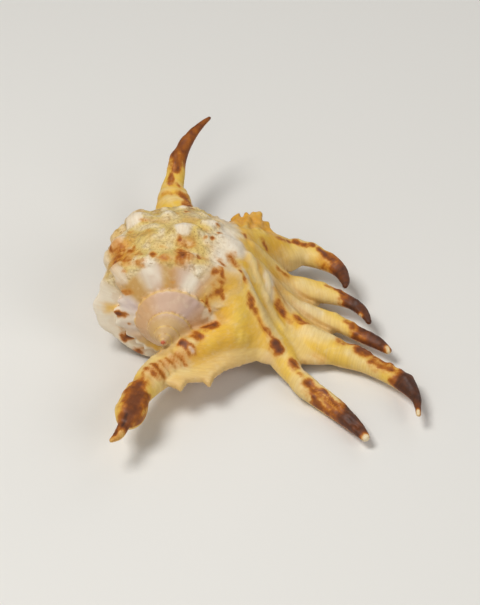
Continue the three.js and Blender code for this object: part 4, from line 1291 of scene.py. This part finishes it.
def finish_nodes(n, parts):
    """Roughness, and a bump with pits between the granules and fine growth lines."""
    gloss, dots = parts["gloss"], parts["dots"]
    rough = n.times(n.math("SUBTRACT", dots, 0.5), 0.16)
    n.link(n.plus(n.range(gloss, 0, 1, 0.5, 0.42), rough), n.shader.inputs["Roughness"])
    n.shader.inputs["Specular IOR Level"].default_value = SPECULAR
    pits = n.times(parts["granules"], n.times(parts["grain"], -1.6))
    lines = n.times(parts["hairs"], n.range(gloss, 0, 1, 0.25, 0.05))
    bump = n.tree.nodes.new("ShaderNodeBump")
    bump.inputs["Strength"].default_value = BUMP_STRENGTH
    bump.inputs["Distance"].default_value = BUMP_HEIGHT
    n.link(n.plus(n.plus(pits, lines), n.times(dots, 0.2)), bump.inputs["Height"])
    n.link(bump.outputs[0], n.shader.inputs["Normal"])


def shell_material():
    n = Nodes("shell")
    place = n.tree.nodes.new("ShaderNodeTexCoord").outputs["Object"]
    flow = n.attribute("flow", "Vector")
    parts = {
        "place": place, "flow": flow, "gloss": n.attribute("gloss"), "grain": n.attribute("grain"),
        "patches": n.noise(place, PATCH_SCALE, 3, 0.6), "dots": n.noise(place, DOT_SCALE, 2, 0.6),
        "hairs": n.noise(n.scaled(flow, (1.0, 0.08, 1)), HAIR_SCALE, 2, 0.5),
        "granules": n.cells(place, GRANULE_SCALE)}
    n.link(brown_nodes(n, parts, ground_nodes(n, parts)), n.shader.inputs["Base Color"])
    finish_nodes(n, parts)
    return n.material


FLOOR_SIZE = 6.0
FLOOR_COLOUR = (226, 223, 216)
FLOOR_ROUGHNESS = 0.7


def make_floor():
    half = FLOOR_SIZE / 2
    mesh = bpy.data.meshes.new("floor")
    corners = [(-half, -half, 0), (half, -half, 0), (half, half, 0), (-half, half, 0)]
    mesh.from_pydata(corners, [], [(0, 1, 2, 3)])
    n = Nodes("floor")
    n.shader.inputs["Base Color"].default_value = (*linear(FLOOR_COLOUR), 1)
    n.shader.inputs["Roughness"].default_value = FLOOR_ROUGHNESS
    mesh.materials.append(n.material)
    floor = bpy.data.objects.new("floor", mesh)
    bpy.context.scene.collection.objects.link(floor)


# Each light: where it is (metres), its side length and its power. All look at the same point.
LIGHTS = {
    "key": ((-0.36, -0.16, 0.86), 0.36, 6.1), "front": ((0.1, -0.8, 0.5), 0.5, 1.2),
    "fill": ((-0.6, -0.6, 0.5), 0.6, 0.6), "side": ((0.66, -0.3, 0.6), 0.5, 2.1),
    "rim": ((0.3, 0.8, 0.5), 0.6, 1.5),
}
LIGHTS_AIM = Vector((0, 0, 0.02))
ROOM_COLOUR = (0.93, 0.95, 1, 1)
ROOM_LIGHT = 0.1


def make_lights():
    for name, (place, size, power) in LIGHTS.items():
        data = bpy.data.lights.new(name, "AREA")
        data.size = size
        data.energy = power
        light = bpy.data.objects.new(name, data)
        light.location = place
        light.rotation_euler = (LIGHTS_AIM - Vector(place)).to_track_quat("-Z", "Y").to_euler()
        bpy.context.scene.collection.objects.link(light)
    world = bpy.data.worlds.new("room")
    world.use_nodes = True
    background = world.node_tree.nodes["Background"]
    background.inputs["Color"].default_value = ROOM_COLOUR
    background.inputs["Strength"].default_value = ROOM_LIGHT
    bpy.context.scene.world = world


# The camera, in the shell's own frame: it looks from the spire's side, from above.
CAMERA_AZIMUTH = np.radians(8)
CAMERA_ELEVATION = np.radians(46)
CAMERA_DISTANCE = 900.0
CAMERA_RIGHT_OF_APEX = 25.57
CAMERA_ABOVE_APEX = 13.93
VIEW_HEIGHT = 198.36
SENSOR = 36.0


def make_camera():
    flat = np.cos(CAMERA_ELEVATION)
    back = np.array([np.sin(CAMERA_AZIMUTH) * flat, -np.cos(CAMERA_AZIMUTH) * flat,
                     np.sin(CAMERA_ELEVATION)])
    right = np.array([np.cos(CAMERA_AZIMUTH), np.sin(CAMERA_AZIMUTH), 0])
    up = np.cross(back, right)
    target = APEX + CAMERA_RIGHT_OF_APEX * right + CAMERA_ABOVE_APEX * up
    eye, target, above = to_row(np.array([target + CAMERA_DISTANCE * back, target, target + up]))
    z_axis = Vector(eye - target).normalized()
    x_axis = Vector(above - target).cross(z_axis).normalized()
    y_axis = z_axis.cross(x_axis)
    data = bpy.data.cameras.new("camera")
    data.sensor_width = SENSOR
    data.lens = SENSOR * CAMERA_DISTANCE / VIEW_HEIGHT
    camera = bpy.data.objects.new("camera", data)
    turn = Matrix((x_axis, y_axis, z_axis)).transposed()
    camera.matrix_world = Matrix.Translation(Vector(eye)) @ turn.to_4x4()
    bpy.context.scene.collection.objects.link(camera)
    bpy.context.scene.camera = camera


make_camera()
make_lights()
make_floor()
bpy.context.scene.view_settings.view_transform = "Standard"
shell = make_shell(shell_material())
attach(shell, "root")
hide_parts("shell")
